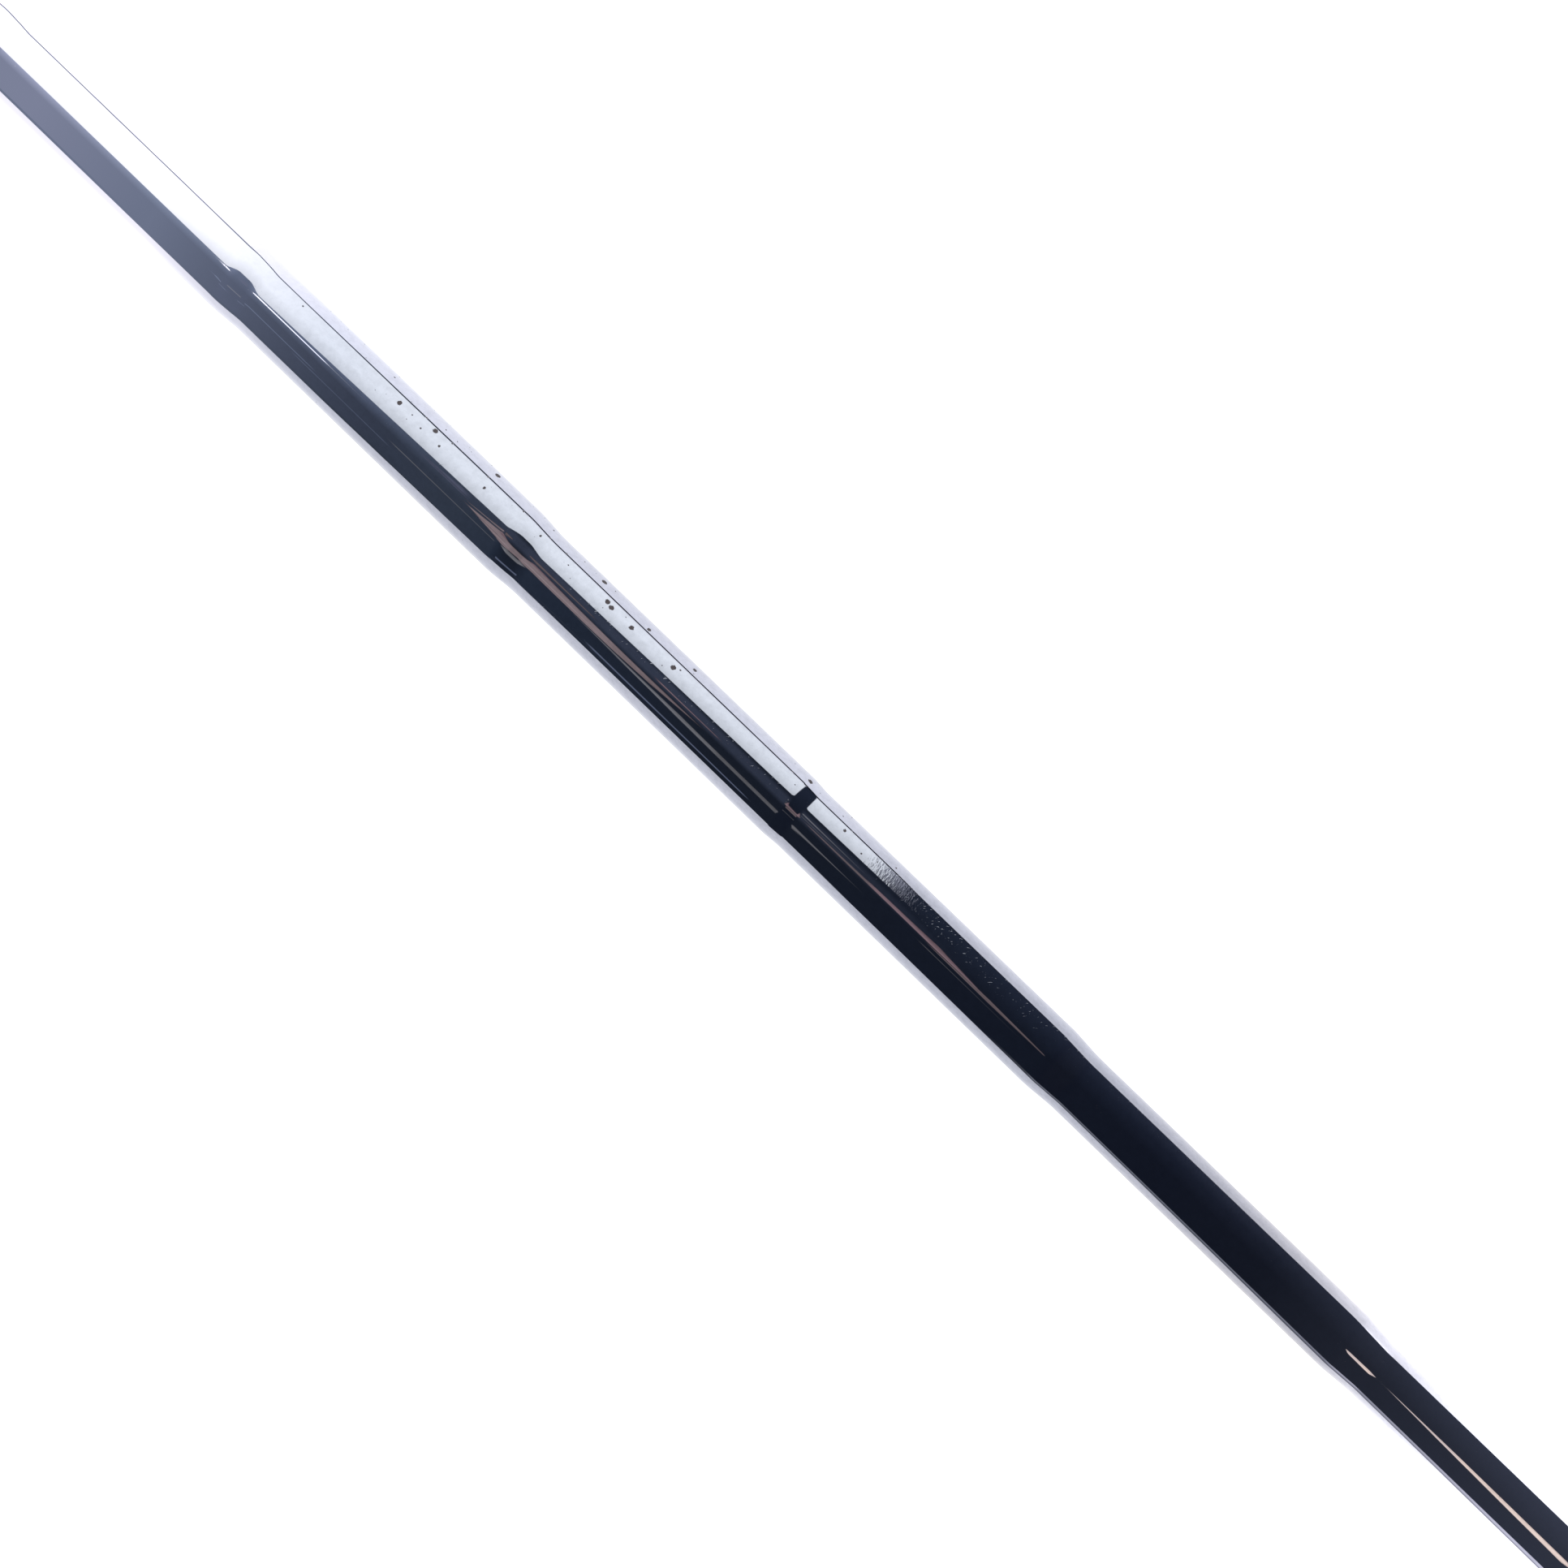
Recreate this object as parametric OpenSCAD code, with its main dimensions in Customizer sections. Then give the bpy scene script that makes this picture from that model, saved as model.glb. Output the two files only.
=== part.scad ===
// Golf iron: a cavity-back head on a step-tapered steel shaft with a slip-on rubber grip.
// Club frame: the shaft's axis is X, from the grip cap at 0 to the head.
// Head frame: X to the toe, Y to the target, Z up, with the sole on the ground.
// Face frame: X to the toe, Y up the face, Z from the face into the head.

/* [Shaft] */
// Length of the shaft tube
shaft_l = 895; // [840:1:960]
// Outside diameter of the tube under the grip
butt_d = 14.73; // [14.4:0.01:15.2]
// Fall in diameter at each step
step_drop = 0.815; // [0.6:0.005:0.9]
// Number of steps
step_n = 7; // [4:1:8]
// From the butt to the first step
first_step = 287.6; // [275:0.1:320]
// From one step to the next
step_pitch = 62.4; // [45:0.1:68]
// Length of the cone at a step
step_cone = 7; // [3:0.1:10]
// Which step, counted from the butt, is the shallow one
shallow_step = 4; // [1:1:8]
// Fall in diameter at the shallow step
shallow_drop = 0.44; // [0.3:0.01:0.9]
// Length of the shallow step's cone
shallow_cone = 4.4; // [3:0.1:10]
// Wall of the tube
shaft_wall = 0.5; // [0.4:0.05:0.8]

/* [Grip] */
// Length of the grip with its cap
grip_l = 267; // [240:1:272]
// Diameter of the grip's flared butt
grip_butt_d = 27; // [25:0.1:29]
// Diameter that the grip's long taper starts from
grip_body_d = 24.4; // [22:0.1:25]
// Diameter of the grip's mouth
grip_mouth_d = 17; // [16.4:0.1:19]
// Length of the flare behind the butt
grip_flare_l = 34; // [20:1:50]
// Thickness of the grip cap
cap_t = 3.2; // [2.5:0.1:5]
// Diameter of the vent hole in the cap
vent_d = 3.2; // [2.4:0.1:4]
// Thickness of the double-sided tape under the grip
tape_t = 0.25; // [0.15:0.05:0.4]
// How far the tape stays inside the grip's mouth
tape_inset = 4; // [2:0.5:10]
// Number of ring grooves at each end of the grip
ring_n = 3; // [1:1:5]
// From one ring groove to the next
ring_pitch = 4.2; // [3:0.1:6]
// Width of a ring groove
ring_w = 1.3; // [0.8:0.1:2]
// Depth of a ring groove
ring_depth = 0.45; // [0.2:0.05:0.8]

/* [Ferrule] */
// Length of the ferrule
ferrule_l = 24; // [16:0.5:32]
// Diameter of the ferrule's rounded top
ferrule_top_d = 10.8; // [10.4:0.1:12]
// Width of a trim ring
trim_w = 1.4; // [0.8:0.1:2]
// From the hosel to the first trim ring
trim_start = 3; // [1.5:0.1:5]
// From one trim ring to the next
trim_pitch = 3.2; // [2.4:0.1:5]
// Number of trim rings
trim_n = 2; // [1:1:3]
// Thickness of a trim ring
trim_t = 0.7; // [0.4:0.05:1]

/* [Hosel] */
// Outside diameter of the hosel
hosel_d = 13.4; // [12.8:0.1:14.5]
// From the ground to the hosel's top, along the shaft
hosel_top = 68; // [60:0.5:76]
// Depth of the blind bore for the shaft
bore_depth = 32; // [26:0.5:36]
// Thickness of the adhesive round the shaft
epoxy_t = 0.15; // [0.1:0.01:0.25]
// Angle between the shaft and the ground
lie = 62; // [59:0.5:65]
// How far the hosel's front stands ahead of the leading edge
face_offset = 3; // [0:0.5:6]

/* [Blade] */
// Angle between the face and the shaft
loft = 34; // [26:1:44]
// From the shaft's line to the toe, along the ground
toe_x = 80; // [74:0.5:86]
// Height of the toe, along the face
toe_h = 57; // [52:0.5:62]
// Slope of the topline
topline_deg = 24; // [20:0.5:28]
// Thickness of the topline
topline_t = 6; // [5.6:0.1:8]
// Width of the sole
sole_w = 20; // [17:0.5:24]
// Height of the cavity's low edge, along the face
muscle_h = 15; // [14:0.5:18]
// Height of the sole bar at its back
bar_z = 9.6; // [8.5:0.1:11]
// Radius of the leading edge
lead_r = 2.4; // [1.5:0.1:4]
// Radius of the sole from heel to toe
sole_r = 170; // [120:5:185]
// Radius of the sole from front to back
camber_r = 34; // [25:1:60]

/* [Face] */
// Thickness of the face insert
insert_t = 2.6; // [2:0.1:3]
// Border between the blade's edge and the insert
insert_border = 4; // [3:0.1:5]
// Where the insert starts at the heel
insert_heel_x = 12; // [8:0.5:16]
// Number of scorelines
score_n = 11; // [8:1:13]
// From one scoreline to the next
score_pitch = 3.6; // [3:0.1:3.8]
// Width of a scoreline
score_w = 0.8; // [0.6:0.05:1]
// Depth of a scoreline
score_depth = 0.45; // [0.3:0.05:0.6]
// From the leading edge to the lowest scoreline
score_start = 6.5; // [6:0.1:10]
// Where the scorelines start at the heel
score_heel_x = 20; // [18:0.5:26]
// Where they end at the toe
score_toe_x = 69; // [64:0.5:72]
// From a scoreline's heel end to the insert's edge
score_in = 2; // [1:0.1:4]

/* [Cavity] */
// Rim between the blade's edge and the cavity
rim_w = 6.5; // [6:0.1:9]
// Where the cavity starts at the heel
cavity_heel_x = 15; // [12:0.5:20]
// Thickness of the damping pad behind the face
damper_t = 1.5; // [1:0.1:1.8]
// Thickness of the tape that holds the badge
badge_tape_t = 0.2; // [0.1:0.05:0.3]
// Thickness of the bare badge
badge_t = 0.9; // [0.5:0.1:1.1]
// How far the badge stays inside the pad's edge
badge_inset = 2; // [1:0.5:4]
// Gap between the pad and the cavity's wall
pad_gap = 0.3; // [0.1:0.1:0.8]

/* [Weights] */
// Diameter of the toe weight
toe_weight_d = 6.4; // [5:0.1:7]
// Length of the toe weight
toe_weight_l = 9; // [6:0.5:11]
// From the toe weight to the toe
toe_weight_in = 18; // [16:0.5:26]
// Height of the toe weight's centre above the ground
toe_weight_z = 5.4; // [5:0.1:5.8]
// Length of the weight's stem inside the shaft
tip_weight_l = 16; // [8:1:30]
// Thickness of the flange that the shaft's tip stands on
tip_flange_t = 1.2; // [0.8:0.1:2]

/* [Pose] */
// Turn about the shaft that lays the head down, with its face up
rest_roll = 79.1; // [78:0.1:83]
// Tilt of the shaft between the grip and the head
rest_pitch = -0.1; // [-0.5:0.05:0.5]
// From the shaft's line to the middle of the club's width
rest_side = 38.5; // [30:0.1:42]

/* [Hidden] */
$fn = 96;

// Cuts run this far past the surface that they leave.
over = 1;
// Longest arc and longest edge between two points of an outline
arc_deg = 9;
arc_len = 7;
// Share of an edge that the rounding of one of its ends may take
edge_share = 0.49;

// The blade's outline
heel_x = 6;
heel_r = 7;
sole_mid_x = 38;
sole_rise = 3.2;
toe_low_r = 15;
toe_out = 2.6;
toe_mid_r = 55;
toe_lean = 2;
toe_top_r = 11;

// The sole bar and the section
bar_heel_x = 8;
bar_toe_in = 1;
bar_r = 16;
bar_top_r = 0.5;
bar_lean = 1.5;
sole_drop = 1.2;
toe_weight_sunk = 0.5;
trail_r = 3;
shelf_r = 3;
shelf_rise = 4;

// The neck: where its crotch and heel leave the hosel, and where they end in the blade
crotch_top = 46;
crotch_low = 22;
heel_up = 12;
neck_x = 15;
neck_n = 6;
heel_ball_r = 6;
// How far both routes swing out on their way, as a share of where they bend
crotch_swing = 0.25;
heel_swing = 0.5;
// The neck's balls lie this far under the hosel's and the blade's own surfaces.
neck_under = 0.2;

tip_d = 2 * tube_r(step_n);
bore_d = tip_d + 2 * epoxy_t;
hosel_r = hosel_d / 2;
shaft_y = face_offset - hosel_r;
tip_up = hosel_top - bore_depth + tip_flange_t;
ground_x = cap_t + shaft_l + tip_up;
club_l = ground_x + toe_x * cos(lie);

// ---- Outlines ------------------------------------------------------------------------------

function unit(v) = v / norm(v);

// Points of the arc that rounds corner p, between its neighbours a and b. Its radius is wanted,
// or less where the shorter of its two edges can't hold that.
function rounded(a, p, b, wanted) =
    let (u = unit(a - p), w = unit(b - p), half = acos(u * w) / 2,
         r = min(wanted, edge_share * min(norm(a - p), norm(b - p)) * tan(half)),
         c = p + unit(u + w) * r / sin(half),
         s = p + u * r / tan(half) - c, e = p + w * r / tan(half) - c,
         from = atan2(s.y, s.x),
         turn = (atan2(e.y, e.x) - from + 540) % 360 - 180,
         n = ceil(max(abs(turn) / arc_deg, r * abs(turn) * PI / 180 / arc_len)))
    [for (i = [0:n]) c + r * [cos(from + turn * i / n), sin(from + turn * i / n)]];

// Outline through corners [x, y, radius], each rounded by its own radius.
function outline(c) = [for (i = [0:len(c) - 1])
    let (a = c[(i + len(c) - 1) % len(c)], p = c[i], b = c[(i + 1) % len(c)])
    each rounded([a.x, a.y], [p.x, p.y], [b.x, b.y], p.z)];

// Corner p moved inwards by d from both of its edges. Corners run anticlockwise.
function inner_corner(a, p, b, d) =
    let (u = unit([p.x - a.x, p.y - a.y]), w = unit([b.x - p.x, b.y - p.y]),
         nu = [-u.y, u.x], nw = [-w.y, w.x], q = [p.x, p.y] + (nu + nw) * d / (1 + nu * nw))
    [q.x, q.y, max(p.z - d, 1)];

function inset(c, d) = [for (i = [0:len(c) - 1])
    inner_corner(c[(i + len(c) - 1) % len(c)], c[i], c[(i + 1) % len(c)], d)];

// ---- Shaft ---------------------------------------------------------------------------------

// Where the cone of step i starts and how long it is, and the tube's radius above that step.
// The shallow step shares the others' middles, so that all the middles stay one pitch apart.
function cone_l(i) = i + 1 == shallow_step ? shallow_cone : step_cone;
function step_x(i) = first_step + i * step_pitch + (step_cone - cone_l(i)) / 2;
function tube_r(i) =
    (butt_d - i * step_drop + (i < shallow_step ? 0 : step_drop - shallow_drop)) / 2;

// The tube's surface, moved inwards by t, as [radius, distance from the butt].
function tube_line(t) = concat(
    [[tube_r(0) - t, 0]],
    [for (i = [0:step_n - 1]) each [[tube_r(i) - t, step_x(i)],
                                    [tube_r(i + 1) - t, step_x(i) + cone_l(i)]]],
    [[tube_r(step_n) - t, shaft_l]]);

function backwards(list) = [for (i = [len(list) - 1:-1:0]) list[i]];

module along_shaft(from = 0) translate([from, 0, 0]) rotate([0, 90, 0]) children();

module shaft_tube()
    along_shaft(cap_t) rotate_extrude()
        polygon(concat(tube_line(0), backwards(tube_line(shaft_wall))));

module weight_in_tip() {
    along_shaft(cap_t + shaft_l - tip_weight_l)
        cylinder(d = tip_d - 2 * shaft_wall, h = tip_weight_l);
    along_shaft(cap_t + shaft_l) cylinder(d = tip_d, h = tip_flange_t);
}

// ---- Grip ----------------------------------------------------------------------------------

// Radius of the rubber at distance x from the cap's outer face
function grip_r(x) =
    (grip_body_d + (grip_mouth_d - grip_body_d) * x / grip_l
     + (grip_butt_d - grip_body_d) * pow(max(0, 1 - x / grip_flare_l), 2)) / 2;

flare_n = 8;
mouth_round = 0.8;
cap_round = 1.2;
cap_round_deg = 15;

function grip_line() = concat(
    [for (i = [0:flare_n]) let (x = cap_t + (grip_flare_l - cap_t) * i / flare_n) [grip_r(x), x]],
    [[grip_r(grip_l - mouth_round), grip_l - mouth_round],
     [grip_r(grip_l) - mouth_round, grip_l]]);

module ring_groove(x)
    along_shaft(x) difference() {
        cylinder(d = grip_butt_d + over, h = ring_w);
        translate([0, 0, -over])
            cylinder(r = grip_r(x + ring_w / 2) - ring_depth, h = ring_w + 2 * over);
    }

module grip_sleeve()
    difference() {
        along_shaft() rotate_extrude() polygon(concat(
            grip_line(),
            [[butt_d / 2 + tape_t, grip_l], [butt_d / 2 + tape_t, cap_t]]));
        for (i = [1:ring_n]) {
            ring_groove(grip_l - i * ring_pitch);
            ring_groove(grip_flare_l + i * ring_pitch);
        }
    }

module tape_under_grip()
    along_shaft(cap_t) difference() {
        cylinder(d = butt_d + 2 * tape_t, h = grip_l - cap_t - tape_inset);
        translate([0, 0, -over]) cylinder(d = butt_d, h = grip_l);
    }

module cap_disc()
    along_shaft() rotate_extrude() polygon([
        [vent_d / 2, 0],
        each [for (a = [0:cap_round_deg:90])
            [grip_r(0) - cap_round + cap_round * sin(a), cap_round - cap_round * cos(a)]],
        [grip_r(cap_t), cap_t],
        [vent_d / 2, cap_t]]);

// ---- Ferrule -------------------------------------------------------------------------------

ferrule_x = ground_x - hosel_top;
ferrule_curve_n = 8;
ferrule_round = 0.5;
// How late along its length the ferrule curves in: 1 makes a plain cone
ferrule_fullness = 1.6;

// Radius of the ferrule at distance z above the hosel: full at the hosel, curving in to the top
function ferrule_r(z) =
    hosel_r - (hosel_d - ferrule_top_d) / 2 * pow(z / ferrule_l, ferrule_fullness);

function trim_z(i) = trim_start + i * trim_pitch;

module above_hosel(z = 0) translate([ferrule_x - z, 0, 0]) rotate([0, -90, 0]) children();

module ferrule_body()
    difference() {
        above_hosel() rotate_extrude() polygon([
            [tip_d / 2, 0],
            each [for (i = [0:ferrule_curve_n])
                let (z = (ferrule_l - ferrule_round) * i / ferrule_curve_n) [ferrule_r(z), z]],
            [ferrule_r(ferrule_l) - ferrule_round, ferrule_l],
            [tip_d / 2, ferrule_l]]);
        for (i = [0:trim_n - 1]) trim_band(i, over);
    }

// The band of one trim ring, grown outwards by grow.
module trim_band(i, grow)
    above_hosel(trim_z(i)) difference() {
        cylinder(r1 = ferrule_r(trim_z(i)) + grow, r2 = ferrule_r(trim_z(i) + trim_w) + grow,
                 h = trim_w);
        translate([0, 0, -over])
            cylinder(r = ferrule_r(trim_z(i)) - trim_t, h = trim_w + 2 * over);
    }

// ---- Head ----------------------------------------------------------------------------------

module head_frame()
    translate([ground_x, 0, 0]) rotate([0, -lie, 0]) translate([0, -shaft_y, 0]) children();

module face_frame() rotate([90 + loft, 0, 0]) children();

// On the hosel's axis, at distance z from the ground, with Z up the shaft
module hosel_frame(z)
    translate([0, shaft_y, 0]) rotate([0, lie - 90, 0]) translate([0, 0, z]) children();

// Points of the head frame: on the hosel's axis, and up the face by v and behind it by d
function on_hosel(z) = [-z * cos(lie), shaft_y, z * sin(lie)];
function on_face(x, v, d) = [x, -v * sin(loft) - d * cos(loft), v * cos(loft) - d * sin(loft)];

function sole_v(x) = sole_rise * abs(x - sole_mid_x) / sole_mid_x;
function topline_v(x) = toe_h - (toe_x - toe_lean - x) * tan(topline_deg);

// Corners of the blade seen square to the face, from x = from, with its low edge raised
function blade_corners(from, raise = 0) = [
    [from, raise + sole_v(from), heel_r],
    [sole_mid_x, raise, sole_r],
    [toe_x, raise + sole_v(toe_x), toe_low_r],
    [toe_x + toe_out, toe_h / 2, toe_mid_r],
    [toe_x - toe_lean, toe_h, toe_top_r],
    [from, topline_v(from), heel_r]];

// Corners of the thick bar above the sole, which stops short of both ends of the blade
function bar_corners() = [
    [bar_heel_x, sole_v(bar_heel_x), bar_r],
    [sole_mid_x, 0, sole_r],
    [toe_x - bar_toe_in, sole_v(toe_x), bar_r],
    [toe_x - bar_toe_in, topline_v(bar_heel_x), bar_top_r],
    [bar_heel_x, topline_v(bar_heel_x), bar_top_r]];

insert_edge = inset(blade_corners(insert_heel_x), insert_border);
cavity_edge = inset(blade_corners(cavity_heel_x, muscle_h - rim_w), rim_w);

function corner(p, r) = [p.y, p.z, r];

// Corners of the blade seen from the toe, in the head frame's Y and Z
section = [
    [0, 0, lead_r],
    corner(on_face(0, toe_h + over, 0), bar_top_r),
    corner(on_face(0, toe_h + over, topline_t), bar_top_r),
    corner(on_face(0, muscle_h + shelf_rise, topline_t), shelf_r),
    [-sole_w - bar_lean, bar_z, shelf_r],
    [-sole_w, sole_drop, trail_r],
    [-sole_w / 2, -sole_drop, camber_r]];

module plate(corners, from, thick)
    face_frame() translate([0, 0, from]) linear_extrude(thick) polygon(outline(corners));

module blade_blank()
    intersection() {
        union() {
            plate(blade_corners(heel_x), -over, topline_t + over);
            plate(bar_corners(), 0, 2 * sole_w);
        }
        translate([heel_x - over, 0, 0]) rotate([90, 0, 90])
            linear_extrude(toe_x + toe_out - heel_x + 2 * over) polygon(outline(section));
    }

// Two balls of the neck's skeleton, at share t of the way from the hosel to the blade: one runs
// along the crotch into the topline, the other round the heel into the sole.
function bend(a, b, c, t) = (1 - t) * (1 - t) * a + 2 * t * (1 - t) * b + t * t * c;
function mix(a, b, t) = a + (b - a) * t;

module neck_ball(t, route, end_r)
    translate(bend(route[0], route[1], route[2], t))
        sphere(r = mix(hosel_r, end_r, t) - neck_under, $fn = 24);

crotch_r = topline_t / 2;
crotch = [
    on_hosel(crotch_top),
    on_hosel(crotch_low) + [crotch_swing * crotch_low, -crotch_r, 0],
    on_face(neck_x, topline_v(neck_x) - crotch_r, crotch_r)];
heel = [
    on_hosel(heel_up),
    on_hosel(heel_swing * heel_up) + heel_swing * [heel_up, -heel_ball_r, 0],
    on_face(neck_x, heel_ball_r / cos(loft) + heel_ball_r * tan(loft) - sole_drop, heel_ball_r)];

module neck()
    for (i = [0:neck_n - 1]) hull() for (t = [i / neck_n, (i + 1) / neck_n]) {
        neck_ball(t, crotch, crotch_r);
        neck_ball(t, heel, heel_ball_r);
    }

module toe_weight_place()
    translate([toe_x - toe_weight_in, -sole_w + toe_weight_sunk, toe_weight_z]) rotate([-90, 0, 0])
        children();

module head_casting()
    difference() {
        union() {
            blade_blank();
            neck();
            hosel_frame(heel_up) cylinder(r = hosel_r, h = hosel_top - heel_up);
        }
        hosel_frame(hosel_top - bore_depth) cylinder(d = bore_d, h = bore_depth + over);
        plate(insert_edge, -hosel_r, insert_t + hosel_r);
        intersection() {
            plate(cavity_edge, 0, 2 * sole_w);
            translate([0, -2 * toe_h, bar_z]) cube([2 * toe_x, 2 * toe_h, toe_h]);
        }
        toe_weight_place() translate([0, 0, -2 * bar_lean])
            cylinder(d = toe_weight_d, h = toe_weight_l + 2 * bar_lean);
    }

// A scoreline stops at the border below the topline, or at its own start nearer the heel.
function score_from(v) = max(
    score_heel_x,
    toe_x - toe_lean - (toe_h - v) / tan(topline_deg)
        + (insert_border + score_in) / sin(topline_deg));

module scoreline(v)
    face_frame() translate([score_from(v), v, -over])
        cube([score_toe_x - score_from(v), score_w, score_depth + over]);

module insert_plate()
    difference() {
        plate(insert_edge, 0, insert_t);
        for (i = [0:score_n - 1]) scoreline(score_start + i * score_pitch);
    }

// ---- Sub-parts -----------------------------------------------------------------------------

// The club as it lies on a table, with its middle over the origin
module lying()
    translate([-club_l / 2, rest_side, grip_butt_d / 2]) rotate([rest_roll, rest_pitch, 0])
        children();

module grip_cap() color("#202022") lying() cap_disc();
module grip() color("#2a2a2c") lying() grip_sleeve();
module grip_tape() color("#d8d2bc") lying() tape_under_grip();
module shaft() color("#c8ccd6") lying() shaft_tube();
module ferrule() color("#111113") lying() ferrule_body();
module ferrule_rings() color("#e8e8ea") lying() for (i = [0:trim_n - 1]) trim_band(i, 0);
module hosel_epoxy()
    color("#b8a070") lying() head_frame() difference() {
        hosel_frame(tip_up) cylinder(d = bore_d, h = hosel_top - tip_up);
        hosel_frame(tip_up - over) cylinder(d = tip_d, h = hosel_top);
    }
module tip_weight() color("#b39a4c") lying() weight_in_tip();
module head_body() color("#b9bbc0") lying() head_frame() head_casting();
module face_insert() color("#a8abb2") lying() head_frame() insert_plate();
module cavity_damper()
    color("#26262a") lying() head_frame()
        plate(inset(cavity_edge, pad_gap), insert_t, damper_t);
module badge_tape()
    color("#e6e2d6") lying() head_frame()
        plate(inset(cavity_edge, badge_inset), insert_t + damper_t, badge_tape_t);
module badge()
    color("#90949c") lying() head_frame()
        plate(inset(cavity_edge, badge_inset), insert_t + damper_t + badge_tape_t, badge_t);
module toe_weight()
    color("#5f6166") lying() head_frame() toe_weight_place()
        cylinder(d = toe_weight_d, h = toe_weight_l);

grip_cap();
grip();
grip_tape();
shaft();
ferrule();
ferrule_rings();
hosel_epoxy();
tip_weight();
head_body();
face_insert();
cavity_damper();
badge_tape();
badge();
toe_weight();
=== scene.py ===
"""Golf iron lying on a pale table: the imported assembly, dressed piece by piece.

Lengths named here are in millimetres, as in the part's source; meshes are in metres.
Club frame: the shaft's axis is X, from the grip cap at 0 to the head.
"""

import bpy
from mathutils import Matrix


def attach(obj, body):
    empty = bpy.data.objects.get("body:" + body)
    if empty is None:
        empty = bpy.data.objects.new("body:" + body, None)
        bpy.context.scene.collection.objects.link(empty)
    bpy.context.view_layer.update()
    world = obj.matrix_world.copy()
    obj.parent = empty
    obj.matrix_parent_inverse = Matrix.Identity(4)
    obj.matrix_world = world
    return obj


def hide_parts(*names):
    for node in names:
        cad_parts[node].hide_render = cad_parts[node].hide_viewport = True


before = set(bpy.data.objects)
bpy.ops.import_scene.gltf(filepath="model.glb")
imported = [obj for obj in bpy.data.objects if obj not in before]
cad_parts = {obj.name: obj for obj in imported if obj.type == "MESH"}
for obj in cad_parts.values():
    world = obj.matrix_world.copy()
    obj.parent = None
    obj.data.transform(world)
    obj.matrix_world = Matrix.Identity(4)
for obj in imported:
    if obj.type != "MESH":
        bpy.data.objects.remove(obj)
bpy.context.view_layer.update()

import math
from typing import NamedTuple

import bmesh
import bpy
import numpy as np
from bpy.props import FloatProperty, FloatVectorProperty, IntProperty, PointerProperty
from mathutils import Matrix, Vector

bl_info = {
    "name": "Golf iron",
    "version": (1, 0, 0),
    "blender": (4, 5, 0),
    "location": "View3D > Sidebar > Golf iron",
    "description": "Builds and finishes the pieces of a golf iron round its packed frame",
    "category": "Object",
}

MM = 0.001

# ---- Sizes repeated from the part's source ---------------------------------------------------

SHAFT_L, BUTT_D, STEP_DROP, STEP_N = 895.0, 14.73, 0.815, 7
FIRST_STEP, STEP_PITCH, STEP_CONE, SHAFT_WALL = 287.6, 62.4, 7.0, 0.5
SHALLOW_STEP, SHALLOW_DROP = 4, 0.44
GRIP_L, GRIP_BUTT_D, GRIP_BODY_D, GRIP_MOUTH_D, GRIP_FLARE_L = 267.0, 27.0, 24.4, 17.0, 34.0
CAP_T, VENT_D, TAPE_T = 3.2, 3.2, 0.25
RING_N, RING_PITCH, RING_W, RING_DEPTH = 3, 4.2, 1.3, 0.45
FERRULE_L, FERRULE_TOP_D, FERRULE_POWER = 24.0, 10.8, 1.6
TRIM_START, TRIM_PITCH, TRIM_N, TRIM_W, TRIM_T = 3.0, 3.2, 2, 1.4, 0.7
HOSEL_D, HOSEL_TOP, BORE_DEPTH, TIP_FLANGE_T = 13.4, 68.0, 32.0, 1.2
LIE, FACE_OFFSET, TOE_X, SOLE_W = 62.0, 3.0, 80.0, 20.0
TOE_WEIGHT_D, TOE_WEIGHT_L, TOE_WEIGHT_IN, TOE_WEIGHT_Z, TOE_WEIGHT_SUNK = 6.4, 9.0, 18.0, 5.4, 0.5
REST_ROLL, REST_PITCH, REST_SIDE = 79.1, -0.1, 38.5

HOSEL_R = HOSEL_D / 2
TIP_D = BUTT_D - (STEP_N - 1) * STEP_DROP - SHALLOW_DROP
SHAFT_Y = FACE_OFFSET - HOSEL_R
GROUND_X = CAP_T + SHAFT_L + HOSEL_TOP - BORE_DEPTH + TIP_FLANGE_T
CLUB_L = GROUND_X + TOE_X * math.cos(math.radians(LIE))
FERRULE_X = GROUND_X - HOSEL_TOP


def turn(degrees, axis):
    return Matrix.Rotation(math.radians(degrees), 4, axis)


CLUB = (
    Matrix.Translation((-CLUB_L / 2, REST_SIDE, GRIP_BUTT_D / 2))
    @ turn(REST_PITCH, "Y")
    @ turn(REST_ROLL, "X")
)
HEAD = CLUB @ Matrix.Translation((GROUND_X, 0, 0)) @ turn(-LIE, "Y") @ Matrix.Translation((0, -SHAFT_Y, 0))


# ---- Shader maths ----------------------------------------------------------------------------


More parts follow.
